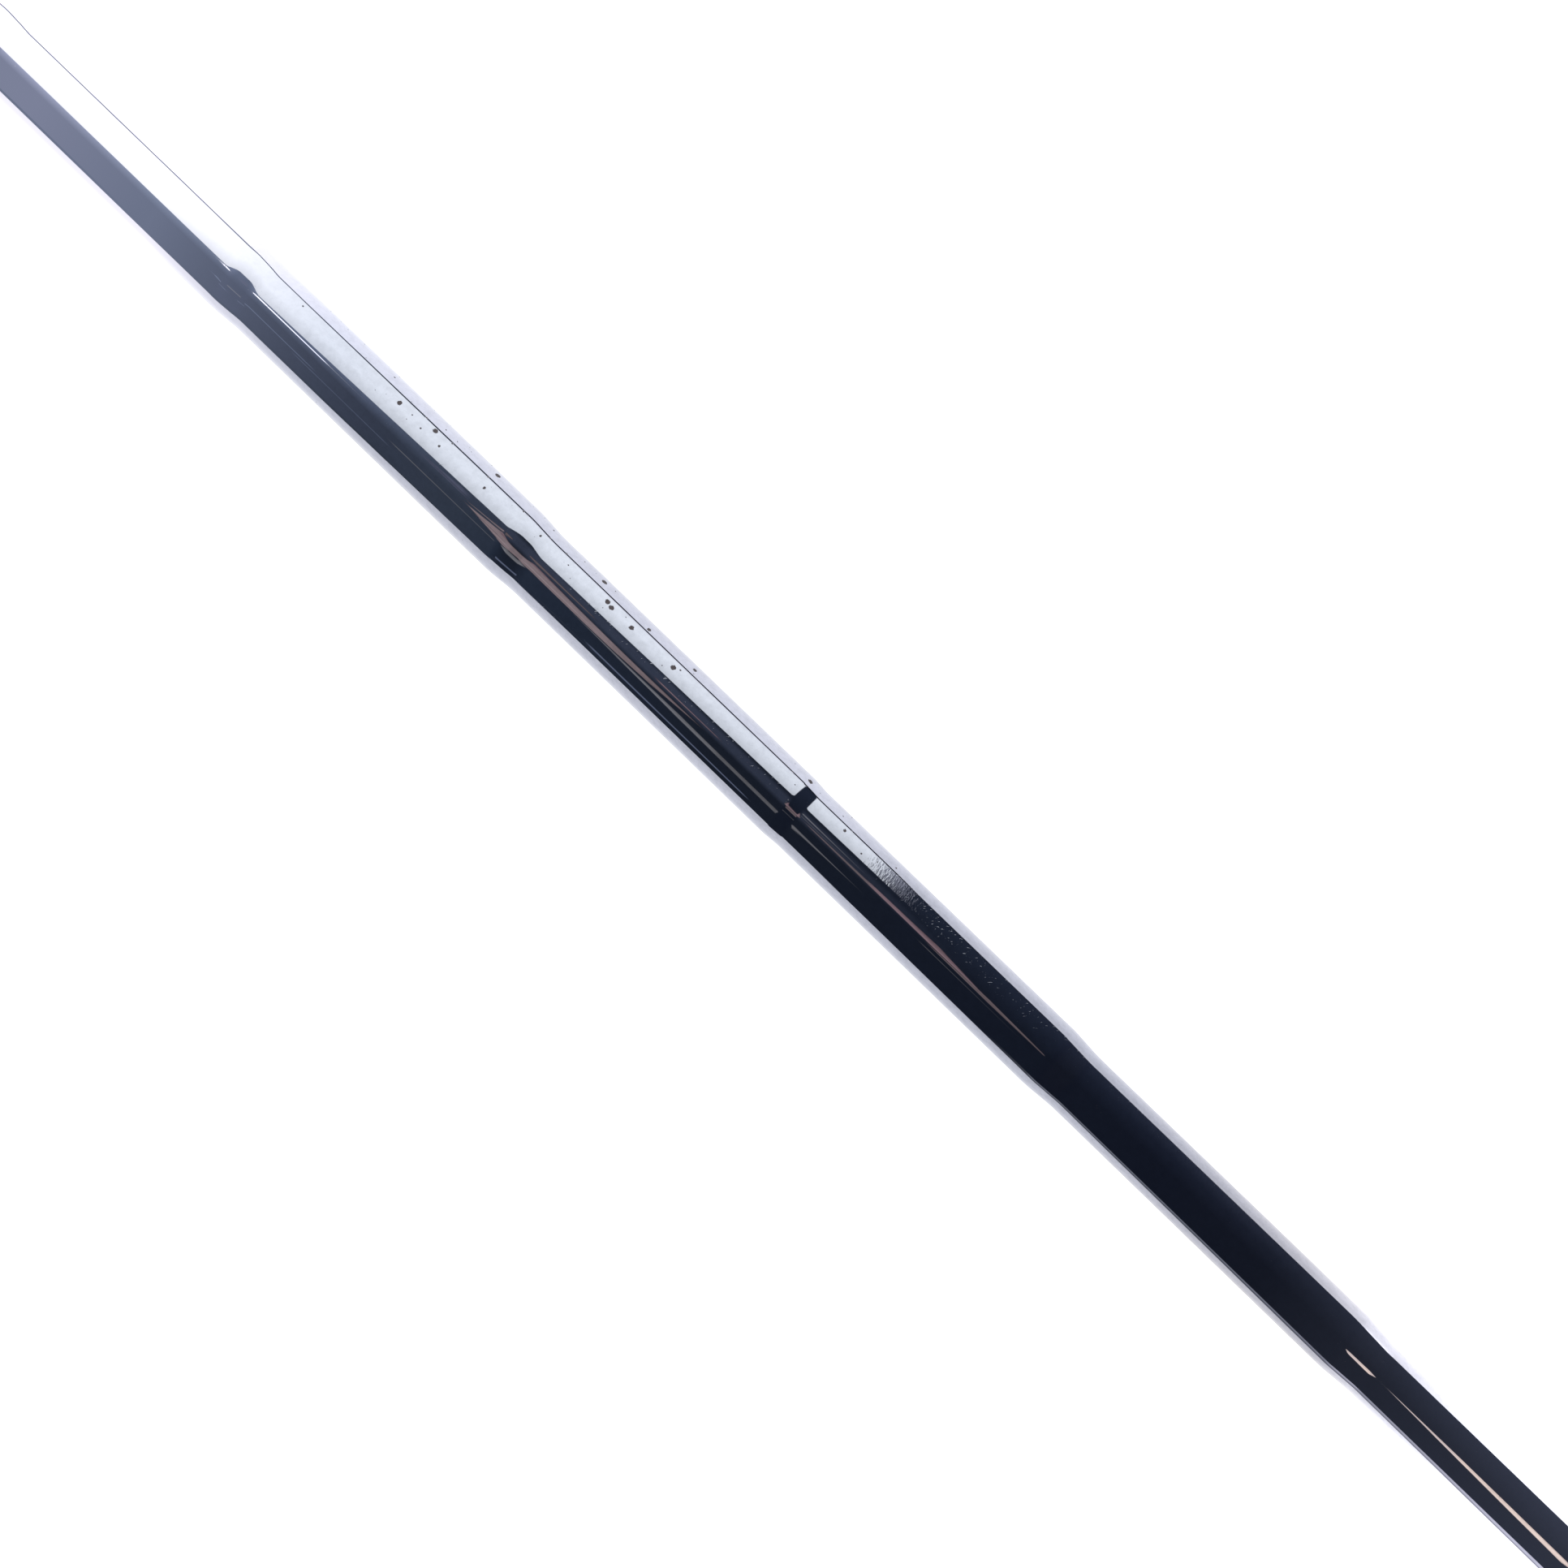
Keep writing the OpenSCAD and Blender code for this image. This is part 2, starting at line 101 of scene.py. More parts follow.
class Wire:
    """An output socket. Arithmetic on it adds Math nodes to its tree."""

    def __init__(self, nodes, socket):
        self.nodes, self.socket = nodes, socket

    def __add__(self, other):
        return self.nodes.math("ADD", self, other)

    def __radd__(self, other):
        return self.nodes.math("ADD", other, self)

    def __sub__(self, other):
        return self.nodes.math("SUBTRACT", self, other)

    def __rsub__(self, other):
        return self.nodes.math("SUBTRACT", other, self)

    def __mul__(self, other):
        return self.nodes.math("MULTIPLY", self, other)

    def __rmul__(self, other):
        return self.nodes.math("MULTIPLY", other, self)

    def __truediv__(self, other):
        return self.nodes.math("DIVIDE", self, other)

    def __rtruediv__(self, other):
        return self.nodes.math("DIVIDE", other, self)

    def __pow__(self, other):
        return self.nodes.math("POWER", self, other)

    def __abs__(self):
        return self.nodes.math("ABSOLUTE", self)

    def clamp(self):
        return self.nodes.math("ADD", self, 0.0, clamp=True)

    def span(self, low, high, first=0.0, last=1.0):
        """Goes from first to last while this goes from low to high, and no further."""
        inputs = {"Value": self, "From Min": low, "From Max": high, "To Min": first, "To Max": last}
        return self.nodes.add("ShaderNodeMapRange", inputs=inputs)

    def within(self, start, full, fading, end):
        """1 from full to fading, and 0 before start and after end."""
        return self.span(start, full) * self.span(end, fading)

    def above(self, edge, soft):
        """0 below the edge and 1 above it, with a blend as wide as soft."""
        if isinstance(edge, Wire):
            return (self - edge).above(0.0, soft)
        return self.span(edge - soft / 2, edge + soft / 2)

    def below(self, edge, soft):
        """1 below the edge and 0 above it, with a blend as wide as soft."""
        if isinstance(edge, Wire):
            return (edge - self).above(0.0, soft)
        return self.span(edge + soft / 2, edge - soft / 2)

    def max(self, other):
        return self.nodes.math("MAXIMUM", self, other)

    def min(self, other):
        return self.nodes.math("MINIMUM", self, other)


class Nodes:
    """Writes one node tree, which it empties first."""

    def __init__(self, tree):
        self.tree = tree
        tree.nodes.clear()

    def add(self, kind, settings=None, inputs=None, out=0):
        """Adds a node: settings first, then the values or wires of its sockets. Returns a Wire."""
        node = self.tree.nodes.new(kind)
        for name, value in (settings or {}).items():
            if name == "stops":
                ramp = node.color_ramp.elements
                while len(ramp) < len(value):
                    ramp.new(1.0)
                for element, (position, color) in zip(ramp, value):
                    element.position, element.color = position, (*color, 1.0)
            else:
                setattr(node, name, value)
        for key, value in (inputs or {}).items():
            socket = self.find(node.inputs, key)
            if isinstance(value, Wire):
                self.tree.links.new(value.socket, socket)
            else:
                socket.default_value = value
        return Wire(self, self.find(node.outputs, out)) if len(node.outputs) else node

    @staticmethod
    def find(sockets, key):
        if isinstance(key, int):
            return sockets[key]
        named = [s for s in sockets if s.identifier == key] + [s for s in sockets if s.name == key]
        return named[0]

    def math(self, operation, *values, clamp=False):
        return self.add(
            "ShaderNodeMath",
            {"operation": operation, "use_clamp": clamp},
            dict(enumerate(values)),
        )

    def vector(self, operation, a, b):
        return self.add("ShaderNodeVectorMath", {"operation": operation}, {0: a, 1: b})

    def scale(self, color, factor):
        return self.add("ShaderNodeVectorMath", {"operation": "SCALE"}, {0: color, "Scale": factor})

    def arctan2(self, y, x):
        """The angle of the point (x, y), in degrees."""
        return self.math("ARCTAN2", y, x) * math.degrees(1)

    def mix(self, factor, a, b):
        """Colour a where the factor is 0 and b where it is 1."""
        return self.add(
            "ShaderNodeMix",
            {"data_type": "RGBA"},
            {"Factor_Float": factor, "A_Color": rgba(a), "B_Color": rgba(b)},
            out="Result_Color",
        )

    def ramp(self, factor, *stops):
        return self.add("ShaderNodeValToRGB", {"stops": stops}, {"Fac": factor})

    def join(self, x, y):
        return self.add("ShaderNodeCombineXYZ", inputs={0: x, 1: y})

    def split(self, vector):
        node = self.add("ShaderNodeSeparateXYZ", inputs={0: vector}).socket.node
        return [Wire(self, socket) for socket in node.outputs]

    def rays(self):
        """1 for the camera's own rays, and 1 for those that metal or glass sends on."""
        path = self.add("ShaderNodeLightPath").socket.node.outputs
        camera, glossy, through = [
            Wire(self, path[f"Is {kind} Ray"]) for kind in ("Camera", "Glossy", "Transmission")
        ]
        return camera, glossy.max(through)

    def principled(self, sockets):
        sockets = {k: rgba(v) if k.endswith("Color") else v for k, v in sockets.items()}
        return self.add("ShaderNodeBsdfPrincipled", inputs=sockets)

    def matt(self, color, light):
        """A dull surface of one colour that gives off light of another."""
        return self.principled({
            "Base Color": color,
            "Roughness": 1.0,
            "Specular IOR Level": 0.0,
            "Emission Color": light,
            "Emission Strength": 1.0,
        })

    def row_mm(self, stretch=(1.0, 1.0, 1.0)):
        """The row frame's coordinates in millimetres, each multiplied by its stretch."""
        place = self.add("ShaderNodeTexCoord", out="Object")
        return self.vector("MULTIPLY", place, [s / MM for s in stretch])

    def noise(self, place, scale, detail=2.0, rough=0.5, seed=0.0):
        return self.add(
            "ShaderNodeTexNoise",
            {"noise_dimensions": "4D"},
            {"Vector": place, "Scale": scale, "Detail": detail, "Roughness": rough, "W": seed},
            out="Fac",
        )

    def cells(self, place, scale, out="Distance"):
        return self.add("ShaderNodeTexVoronoi", inputs={"Vector": place, "Scale": scale}, out=out)

    def bump(self, height, depth_mm, strength=1.0):
        inputs = {"Height": height, "Distance": depth_mm * MM, "Strength": strength}
        return self.add("ShaderNodeBump", inputs=inputs)


def shade(color, share):
    """A constant colour, made darker or lighter."""
    return [c * share for c in color]


def rgba(color):
    return color if isinstance(color, Wire) or len(color) == 4 else (*color, 1.0)


def shaded(name, recipe, *settings):
    """A material with the shader that the recipe returns."""
    material = bpy.data.materials.new(name)
    material.use_nodes = True
    n = Nodes(material.node_tree)
    n.add("ShaderNodeOutputMaterial", inputs={"Surface": recipe(n, *settings)})
    return material


def surface(name, recipe, *settings):
    """A material whose Principled sockets are what the recipe returns."""
    return shaded(name, lambda n: n.principled(recipe(n, *settings)))


# ---- Meshes ----------------------------------------------------------------------------------


def mesh_piece(name, verts, faces, material, node, sharp=35.0, frame_matrix=CLUB):
    """Makes a piece from points in millimetres of the given frame, in place of a CAD node."""
    mesh = bpy.data.meshes.new(name)
    mesh.from_pydata([tuple(v) for v in verts], [], [tuple(f) for f in faces])
    mesh.transform(Matrix.Scale(MM, 4) @ frame_matrix)
    mesh.validate()
    turn_faces_outward(mesh)
    mesh.polygons.foreach_set("use_smooth", [True] * len(mesh.polygons))
    mesh.set_sharp_from_angle(angle=math.radians(sharp))
    place_piece(name, mesh, material, node)


def turn_faces_outward(mesh):
    bm = bmesh.new()
    bm.from_mesh(mesh)
    bmesh.ops.recalc_face_normals(bm, faces=bm.faces)
    bm.to_mesh(mesh)
    bm.free()


def place_piece(name, mesh, material, node):
    piece = bpy.data.objects.new(name, mesh)
    bpy.context.scene.collection.objects.link(piece)
    piece.data.materials.clear()
    piece.data.materials.append(material)
    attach(piece, "root")
    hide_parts(node)


def revolve(line, segments, dent=None, closed=True):
    """Turns a line of (x, radius) round the X axis. dent(x, angle, radius) moves points outwards."""
    x, r = np.array(line, float).T
    angle = np.arange(segments) * 2 * math.pi / segments
    X, A = np.meshgrid(x, angle, indexing="ij")
    R = np.repeat(r[:, None], segments, axis=1)
    if dent is not None:
        R = R + dent(X, A, R)
    verts = np.stack([X, R * np.cos(A), R * np.sin(A)], -1).reshape(-1, 3)
    rings = len(x)
    i, j = np.meshgrid(np.arange(rings if closed else rings - 1), np.arange(segments), indexing="ij")
    i2, j2 = (i + 1) % rings, (j + 1) % segments
    faces = np.stack([i * segments + j, i2 * segments + j, i2 * segments + j2, i * segments + j2], -1)
    return verts, faces.reshape(-1, 4)


def ease(t):
    """0 to 1, flat at both ends."""
    t = np.clip(t, 0.0, 1.0)
    return t * t * (3 - 2 * t)


def finish_node(name, material):
    """Gives a CAD node that stays its finish."""
    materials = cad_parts[name].data.materials
    materials.clear()
    materials.append(material)


# ---- Shaft -----------------------------------------------------------------------------------


# Each step as it was rolled: its shift along the tube, its cone's length, and the length over
# which the cone begins and ends, in mm.
ROLLED = (
    (0.0, 5.4, 3.0),
    (-1.3, 5.2, 3.2),
    (1.5, 4.8, 3.4),
    (1.2, 2.8, 0.9),
    (-1.4, 5.2, 3.0),
    (0.4, 5.8, 1.8),
    (0.0, 5.4, 3.0),
)


def step_middle(i):
    return FIRST_STEP + i * STEP_PITCH + STEP_CONE / 2


def shaft_radius(s):
    """Outside radius at distance s from the butt, which falls at each step's cone."""
    apart = 0.05
    fine = np.arange(0.0, SHAFT_L, apart)
    slope = np.zeros_like(fine)
    for i, (shift, length, blend) in enumerate(ROLLED):
        fall = (SHALLOW_DROP if i + 1 == SHALLOW_STEP else STEP_DROP) / 2
        off = abs(fine - step_middle(i) - shift)
        slope += fall / length * ease((length / 2 - off) / blend + 0.5)
    return BUTT_D / 2 - np.interp(s, fine, np.cumsum(slope) * apart)


def shaft_stations():
    """Distances from the butt of the tube's rings: close together at the steps."""
    apart, nearest, beyond, rings_at_step = 6.0, 0.05, 0.3, 50
    stations = set(np.arange(0, SHAFT_L, apart)) | {SHAFT_L}
    for i, (shift, length, blend) in enumerate(ROLLED):
        reach = (length + blend) / 2 + beyond
        stations |= set(step_middle(i) + shift + np.linspace(-reach, reach, rings_at_step))
    stations = np.array(sorted(stations))
    return stations[np.insert(np.diff(stations) > nearest, 0, True)]


# Where rust has broken through the chrome, as: the place along the row frame's X, the angle round
# the tube from straight up towards +Y in degrees, and the patch's reach, in mm.
RUST = (
    (-97.5, 36.0, 0.40),
    (-90.0, 44.0, 0.45),
    (-87.5, 30.0, 0.22),
    (-77.2, 32.0, 0.24),
    (-77.8, 70.0, 0.50),
    (-65.0, 41.0, 0.20),
    (-52.5, 68.0, 0.50),
    (-49.4, 40.0, 0.45),
    (-48.2, 37.0, 0.45),
    (-43.5, 36.0, 0.42),
    (-41.5, 58.0, 0.36),
    (-34.0, 37.0, 0.45),
    (-31.5, 65.0, 0.36),
    (-5.2, 65.0, 0.45),
    (4.5, 41.0, 0.26),
)


def shaft_chrome(n, p):
    """Chrome plate with rust, specks, hairlines and nicks, a painted glow for the light that a thin coat of
    dust scatters, and chrome painted paler near the grip. What bounds them are places along the row frame's X
    in mm, and angles round the tube in degrees."""
    mm = n.row_mm()
    along, side, height = n.split(mm)
    axis = GRIP_BUTT_D / 2 + (along + CLUB_L / 2) * math.tan(math.radians(-REST_PITCH))
    angle = n.arctan2(side - REST_SIDE, height - axis)
    mean_r = 6.0
    arc = angle * math.radians(mean_r)

    # Rust: ragged patches on the side away from the head, and specks round them
    ragged = (n.noise(mm, 3.4, 4.0, 0.65, seed=3.0) - 0.5) * p.ragged
    spot = -1.0
    for at, turned, reach in RUST:
        dx, dy = along - at, arc - mean_r * math.radians(turned)
        spot = (reach - (dx * dx + dy * dy) / reach).max(spot)
    rust = (spot + ragged).above(0.0, 0.12)
    tone, size, _ = n.split(n.cells(mm, 1.1, out="Color"))
    region = along.within(-130.0, -105.0, 4.0, 16.0) * angle.span(22.0, 32.0)
    speck = n.cells(mm, 1.1).below(0.06 + size * 0.14, 0.06) * tone.above(1.0 - p.specks * region, 0.01)
    pit = (rust + speck).clamp()

    # Hairlines drawn along the tube, nicks across it, and a stretch that has been rubbed
    drawn = n.noise(n.row_mm((0.02, 2.6, 2.6)), 1.0, 3.0, 0.6, seed=1.0)
    slant = n.join((along + arc) * 0.7, (along - arc) * 3.4)
    across = n.join(along * 2.4 + arc * 0.5, arc * 0.8)
    stroke = n.noise(across, 1.0, 2.0, 0.55, seed=7.0)
    nicked = along.within(-58.0, -50.0, -12.0, -4.0) * angle.within(8.0, 11.0, 17.0, 21.0)
    nicked = nicked + along.within(16.0, 24.0, 50.0, 68.0) * angle.span(14.0, 28.0) * 0.9
    rubbed = along.within(8.0, 11.0, 16.0, 60.0) * angle.span(14.0, 20.0)
    scuffed = along.within(40.0, 80.0, 92.0, 112.0) * angle.span(28.0, 52.0)
    faint = n.noise(mm, 0.05, 2.0, 0.5, seed=12.0).above(0.62, 0.1) * 0.4
    nick = n.noise(slant, 1.0, 2.0, 0.5, seed=5.0).above(0.67, 0.03) * (nicked + faint)
    mark = (nick + stroke.above(0.68, 0.04) * (rubbed * 0.8 + scuffed * 0.6)).clamp()

    # Painted glow: emission that stands in for room light scattered by a thin coat of dust, strongest near
    # the grip, a little near the head, and where the plate is scuffed
    film_glow = p.film_glow * along.span(-95.0, -150.0) ** 1.5 + 0.035 * along.span(100.0, 160.0)
    film_glow = film_glow + scuffed * stroke * 0.03
    # The plate is mottled, grimy where it is scuffed, and painted paler near the grip, a painted highlight
    # that brightens what it mirrors there
    mottled = n.noise(mm, 0.8, 5.0, 0.72, seed=20.0).span(0.42, 0.68)
    grime = n.noise(mm, 3.1, 4.0, 0.7, seed=8.0)
    plate = n.mix(mottled, p.chrome, shade(p.chrome, 0.88))
    plate = n.mix(scuffed * grime * 0.5, plate, shade(p.chrome, 0.6))
    plate = n.mix(along.span(-112.0, -150.0) ** 1.5, plate, p.bright)
    return {
        "Base Color": n.mix((pit * (0.75 + grime * 0.5)).clamp(), plate, p.rust),
        "Metallic": 1 - pit * 0.8,
        # Painted light: the dust's glow is given off as emission, so it shines the same in shade
        "Emission Color": n.scale(p.haze_glow, film_glow),
        "Emission Strength": 1.0,
        "Roughness": (0.03 + mark * 0.28 + pit * 0.6 + scuffed * stroke * 0.10).clamp(),
        "Normal": n.bump(drawn * 0.10 + nick * 0.3 + stroke * rubbed * 0.45 - pit, 0.012),
    }


# ---- Grip ------------------------------------------------------------------------------------


def grip_radius(x):
    flare = np.clip(1 - x / GRIP_FLARE_L, 0, None) ** 2
    return (GRIP_BODY_D + (GRIP_MOUTH_D - GRIP_BODY_D) * x / GRIP_L + (GRIP_BUTT_D - GRIP_BODY_D) * flare) / 2


def ring_cut(x, start):
    """Share of a ring groove's depth at x, with rounded lips."""
    lip = 0.2
    return ease((x - start + lip) / (2 * lip)) * ease((start + RING_W + lip - x) / (2 * lip))


def grip_pattern(p):
    """The rubber's moulded relief: ring grooves, and between them columns of slanted cuts."""
    first = GRIP_FLARE_L + RING_N * RING_PITCH + RING_W + 3
    last = GRIP_L - RING_N * RING_PITCH - 4
    pitch = (last - first) / round((last - first) / p.cut_pitch)

    def dent(x, angle, radius):
        cut = np.zeros_like(x)
        for i in range(1, RING_N + 1):
            for start in (GRIP_L - i * RING_PITCH, GRIP_FLARE_L + i * RING_PITCH):
                cut = np.maximum(cut, RING_DEPTH * ring_cut(x, start))
        column = np.floor(angle / (2 * math.pi) * p.cut_columns)
        middle = (column + 0.5) * 2 * math.pi / p.cut_columns
        odd = column % 2
        row = (x - first) / pitch + 0.5 * odd
        dx = (row - np.floor(row) - 0.5) * pitch
        du = (angle - middle) * radius
        tilt = np.radians(p.cut_tilt) * (1 - 2 * odd)
        lengthwise = dx * np.cos(tilt) + du * np.sin(tilt)
        sideways = -dx * np.sin(tilt) + du * np.cos(tilt)
        beyond = np.clip(np.abs(lengthwise) - p.cut_length / 2, 0, None)
        gap = np.hypot(beyond, sideways) - p.cut_width / 2
        field = ease((x - first) / 1.5) * ease((last - x) / 1.5)
        cut = np.maximum(cut, p.cut_depth * ease((0.18 - gap) / 0.36) * field)
        return -cut

    return dent


def rubber(n, color, worn, gloss=0.5):
    """Moulded rubber: fine grain, dusty in the hollows and polished where hands wear it."""
    mm = n.row_mm()
    grain = n.noise(mm, 5.5, 4.0, 0.7)
    dust = n.noise(mm, 0.11, 4.0, 0.6, seed=4.0)
    pores = n.cells(mm, 2.4)
    tint = n.mix(dust.above(0.6, 0.25) * 0.55 + grain * 0.12, color, worn)
    return {
        "Base Color": tint,
        "Roughness": (gloss + dust * 0.28 - grain * 0.12).clamp(),
        "Specular IOR Level": 0.4,
        "Normal": n.bump(grain * 0.6 + pores * 0.4, 0.06, 0.7),
    }


def paper_tape(n, color):
    """Crepe paper: short wrinkles across the strip, a little soiled."""
    mm = n.row_mm((1.0, 0.35, 0.35))
    crepe = n.noise(mm, 1.4, 4.0, 0.6)
    soil = n.noise(n.row_mm(), 0.06, 3.0, 0.6, seed=2.0)
    return {
        "Base Color": n.mix(soil.above(0.5, 0.5) * 0.5, color, shade(color, 0.72)),
        "Roughness": (0.82 + crepe * 0.12).clamp(),
        "Normal": n.bump(crepe, 0.08),
    }


# ---- Ferrule ---------------------------------------------------------------------------------


def ferrule_radius(z):
    return HOSEL_R - (HOSEL_D - FERRULE_TOP_D) / 2 * (z / FERRULE_L) ** FERRULE_POWER


def gloss_plastic(n, color, scratch=0.5):
    """Turned plastic with fine buffing marks round it."""
    turned = n.noise(n.row_mm((6.0, 0.4, 0.4)), 1.0, 2.0, 0.5)
    smear = n.noise(n.row_mm(), 0.35, 4.0, 0.6, seed=6.0)
    return {
        "Base Color": n.mix(smear.above(0.6, 0.3) * 0.3, color, [0.5 * c + 0.06 for c in color]),
        "Roughness": (0.16 + smear * 0.22 * scratch + turned * 0.08).clamp(),
        "Coat Weight": 0.4,
        "Coat Roughness": 0.08,
        "Normal": n.bump(turned, 0.01, scratch),
    }


# ---- Head ------------------------------------------------------------------------------------


def soft_copy(name, voxel_mm, rounds):
    """A CAD node's mesh with its edges eased, as a casting's are by polishing."""
    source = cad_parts[name]
    piece = bpy.data.objects.new(name + "_soft", source.data.copy())
    bpy.context.scene.collection.objects.link(piece)
    remesh = piece.modifiers.new("Remesh", "REMESH")
    remesh.mode, remesh.voxel_size, remesh.use_smooth_shade = "VOXEL", voxel_mm * MM, True
    relax = piece.modifiers.new("Relax", "SMOOTH")
    relax.factor, relax.iterations = 0.5, rounds
    evaluated = piece.evaluated_get(bpy.context.evaluated_depsgraph_get())
    mesh = bpy.data.meshes.new_from_object(evaluated)
    bpy.data.objects.remove(piece)
    return mesh


def head_millimetres(n):
    """The head frame's coordinates in millimetres: to the toe, to the target, and up."""
    turned = HEAD.inverted().to_euler()
    shift = HEAD.inverted().translation
    return n.add(
        "ShaderNodeMapping",
        {"vector_type": "POINT"},
        {"Vector": n.row_mm(), "Location": shift, "Rotation": turned},
    )


def satin_steel(n, tint, grain):
    """Cast steel brushed from heel to toe, with dings and rubbed edges."""
    mm = head_millimetres(n)
    brushed = n.noise(n.vector("MULTIPLY", mm, (0.09, 3.4, 3.4)), 1.0, 4.0, 0.65)
    blast = n.noise(mm, 6.0, 3.0, 0.7, seed=2.0)
    smudge = n.noise(mm, 0.12, 4.0, 0.6, seed=9.0)
    ding = n.cells(n.vector("ADD", mm, (3.0, 7.0, 1.0)), 0.21).below(0.085, 0.05)
    ding = ding * n.noise(mm, 0.07, 1.0, 0.5, seed=15.0).above(0.5, 0.06)
    scratch = n.noise(n.vector("MULTIPLY", mm, (0.5, 0.25, 4.2)), 1.0, 2.0, 0.5, seed=31.0).above(0.66, 0.03)
    relief = brushed * 0.35 * (1 - grain) + blast * grain * 1.2 - ding * 3.0 - scratch * 0.7
    color = n.mix((smudge.above(0.55, 0.3) * 0.5 + ding * 0.5).clamp(), tint, shade(tint, 0.72))
    return {
        "Base Color": color,
        "Metallic": 1.0,
        "Roughness": (0.24 + grain * 0.14 + smudge * 0.12 + brushed * 0.08 - scratch * 0.05).clamp(),
        "Normal": n.bump(relief, 0.02),
    }


def turned_metal(n, color, rough):
    mm = head_millimetres(n)
    lathe = n.noise(n.vector("MULTIPLY", mm, (0.3, 8.0, 0.3)), 1.0, 3.0, 0.6)
    stain = n.noise(mm, 0.5, 4.0, 0.6, seed=7.0)
    return {
        "Base Color": n.mix(stain.above(0.5, 0.4) * 0.6, color, shade(color, 0.6)),
        "Metallic": 1.0,
        "Roughness": (rough + stain * 0.2).clamp(),
        "Normal": n.bump(lathe, 0.02),
    }


def resin(n, color):
    mm = n.row_mm()
    bubbles = n.cells(mm, 1.3)
    return {
        "Base Color": n.mix(n.noise(mm, 0.6, 3.0), color, shade(color, 0.6)),
        "Roughness": (0.32 + bubbles * 0.2).clamp(),
        "Normal": n.bump(bubbles, 0.04),
    }


def bare_badge(n, color):
    """Thin aluminium, brushed across, a little dull from handling."""
    mm = head_millimetres(n)
    brushed = n.noise(n.vector("MULTIPLY", mm, (4.0, 0.12, 0.12)), 1.0, 3.0, 0.6)
    touch = n.noise(mm, 0.2, 4.0, 0.6, seed=2.0)
    return {
        "Base Color": n.mix(touch.above(0.5, 0.4) * 0.5, color, shade(color, 0.75)),
        "Metallic": 1.0,
        "Roughness": (0.28 + touch * 0.2).clamp(),
        "Normal": n.bump(brushed, 0.012),
    }


# ---- Stage -----------------------------------------------------------------------------------
# The far side is towards +Y from the shaft, and the near side, where the head lies, towards -Y.


class Card(NamedTuple):
    """A strip of light or colour that polished metal mirrors."""

    run: tuple  # Slope along the club where it starts and where it ends
    turn: tuple  # Turn of its middle over the club at both ends, in degrees
    half: tuple  # Its half width at both ends, in degrees
    color: tuple
    level: float


BLACK, WHITE, GREY = (0.0, 0.0, 0.0), (1.0, 1.0, 1.0), (1.0, 0.98, 0.94)
SLATE, HAZY = (0.8, 0.95, 1.25), (0.92, 1.0, 1.35)
PINK, BROWN, ROSE = (1.0, 0.78, 0.74), (1.0, 0.76, 0.71), (1.0, 0.66, 0.66)
POINT = -0.8  # Half width of a strip that runs out to a point
# The eye over the shaft for which the strips and levels are laid out, and the shaft's axis there
EYE_X, EYE_OVER_AXIS, AXIS_Z = 42.5, 440.7, 14.0

# Strips on the room's walls and ceiling
CARDS = (
    # Glints near the grip
    Card((-0.401, -0.396), (-1.4, -1.4), (1.6, 1.6), WHITE, 1.6),
    Card((-0.389, -0.350), (-1.2, -1.4), (1.4, 1.0), WHITE, 2.2),
    Card((-0.346, -0.323), (-1.4, -1.4), (0.5, POINT), WHITE, 0.5),
    Card((-0.400, -0.353), (-40.6, -42.0), (0.8, 0.7), SLATE, 0.24),
    Card((-0.357, -0.312), (-49.6, -50.4), (0.6, 0.6), SLATE, 0.20),
    Card((-0.306, -0.256), (-36.0, -34.6), (0.9, 0.5), GREY, 0.24),
    Card((-0.294, -0.277), (1.0, 6.0), (3.0, 7.0), HAZY, 0.12),
    # Pale streaks as far as the fourth step and beyond
    Card((-0.212, -0.160), (-29.6, -31.8), (0.2, 5.0), GREY, 0.24),
    Card((-0.160, -0.140), (-31.8, -33.4), (5.0, 5.0), GREY, 0.21),
    Card((-0.140, -0.102), (-33.4, -34.6), (5.0, 5.2), GREY, 0.145),
    Card((-0.102, -0.066), (-33.2, -31.0), (3.8, POINT), GREY, 0.2),
    Card((-0.200, -0.124), (-70.4, -70.8), (2.9, 1.8), SLATE, 0.18),
    Card((-0.226, -0.190), (-78.0, -78.0), (1.6, 1.0), SLATE, 0.05),
    # Fine streaks after the fourth step, and the rosy one beyond them
    Card((-0.101, -0.065), (17.6, 17.6), (1.6, POINT), GREY, 0.26),
    Card((-0.101, -0.074), (9.6, 9.6), (0.8, POINT), GREY, 0.16),
    Card((-0.096, -0.060), (3.0, 4.0), (1.6, 4.0), PINK, 0.17),
    Card((-0.065, -0.034), (5.2, 6.6), (4.2, 6.8), ROSE, 0.27),
    Card((-0.034, -0.014), (6.6, 3.4), (6.8, 0.8), ROSE, 0.26),
    Card((-0.034, -0.008), (-3.2, -0.4), (1.0, 4.8), BROWN, 0.18),
    Card((-0.008, 0.023), (-0.4, -1.8), (4.8, 0.8), BROWN, 0.17),
    Card((-0.037, 0.017), (-16.2, -16.0), (1.2, POINT), GREY, 0.11),
)
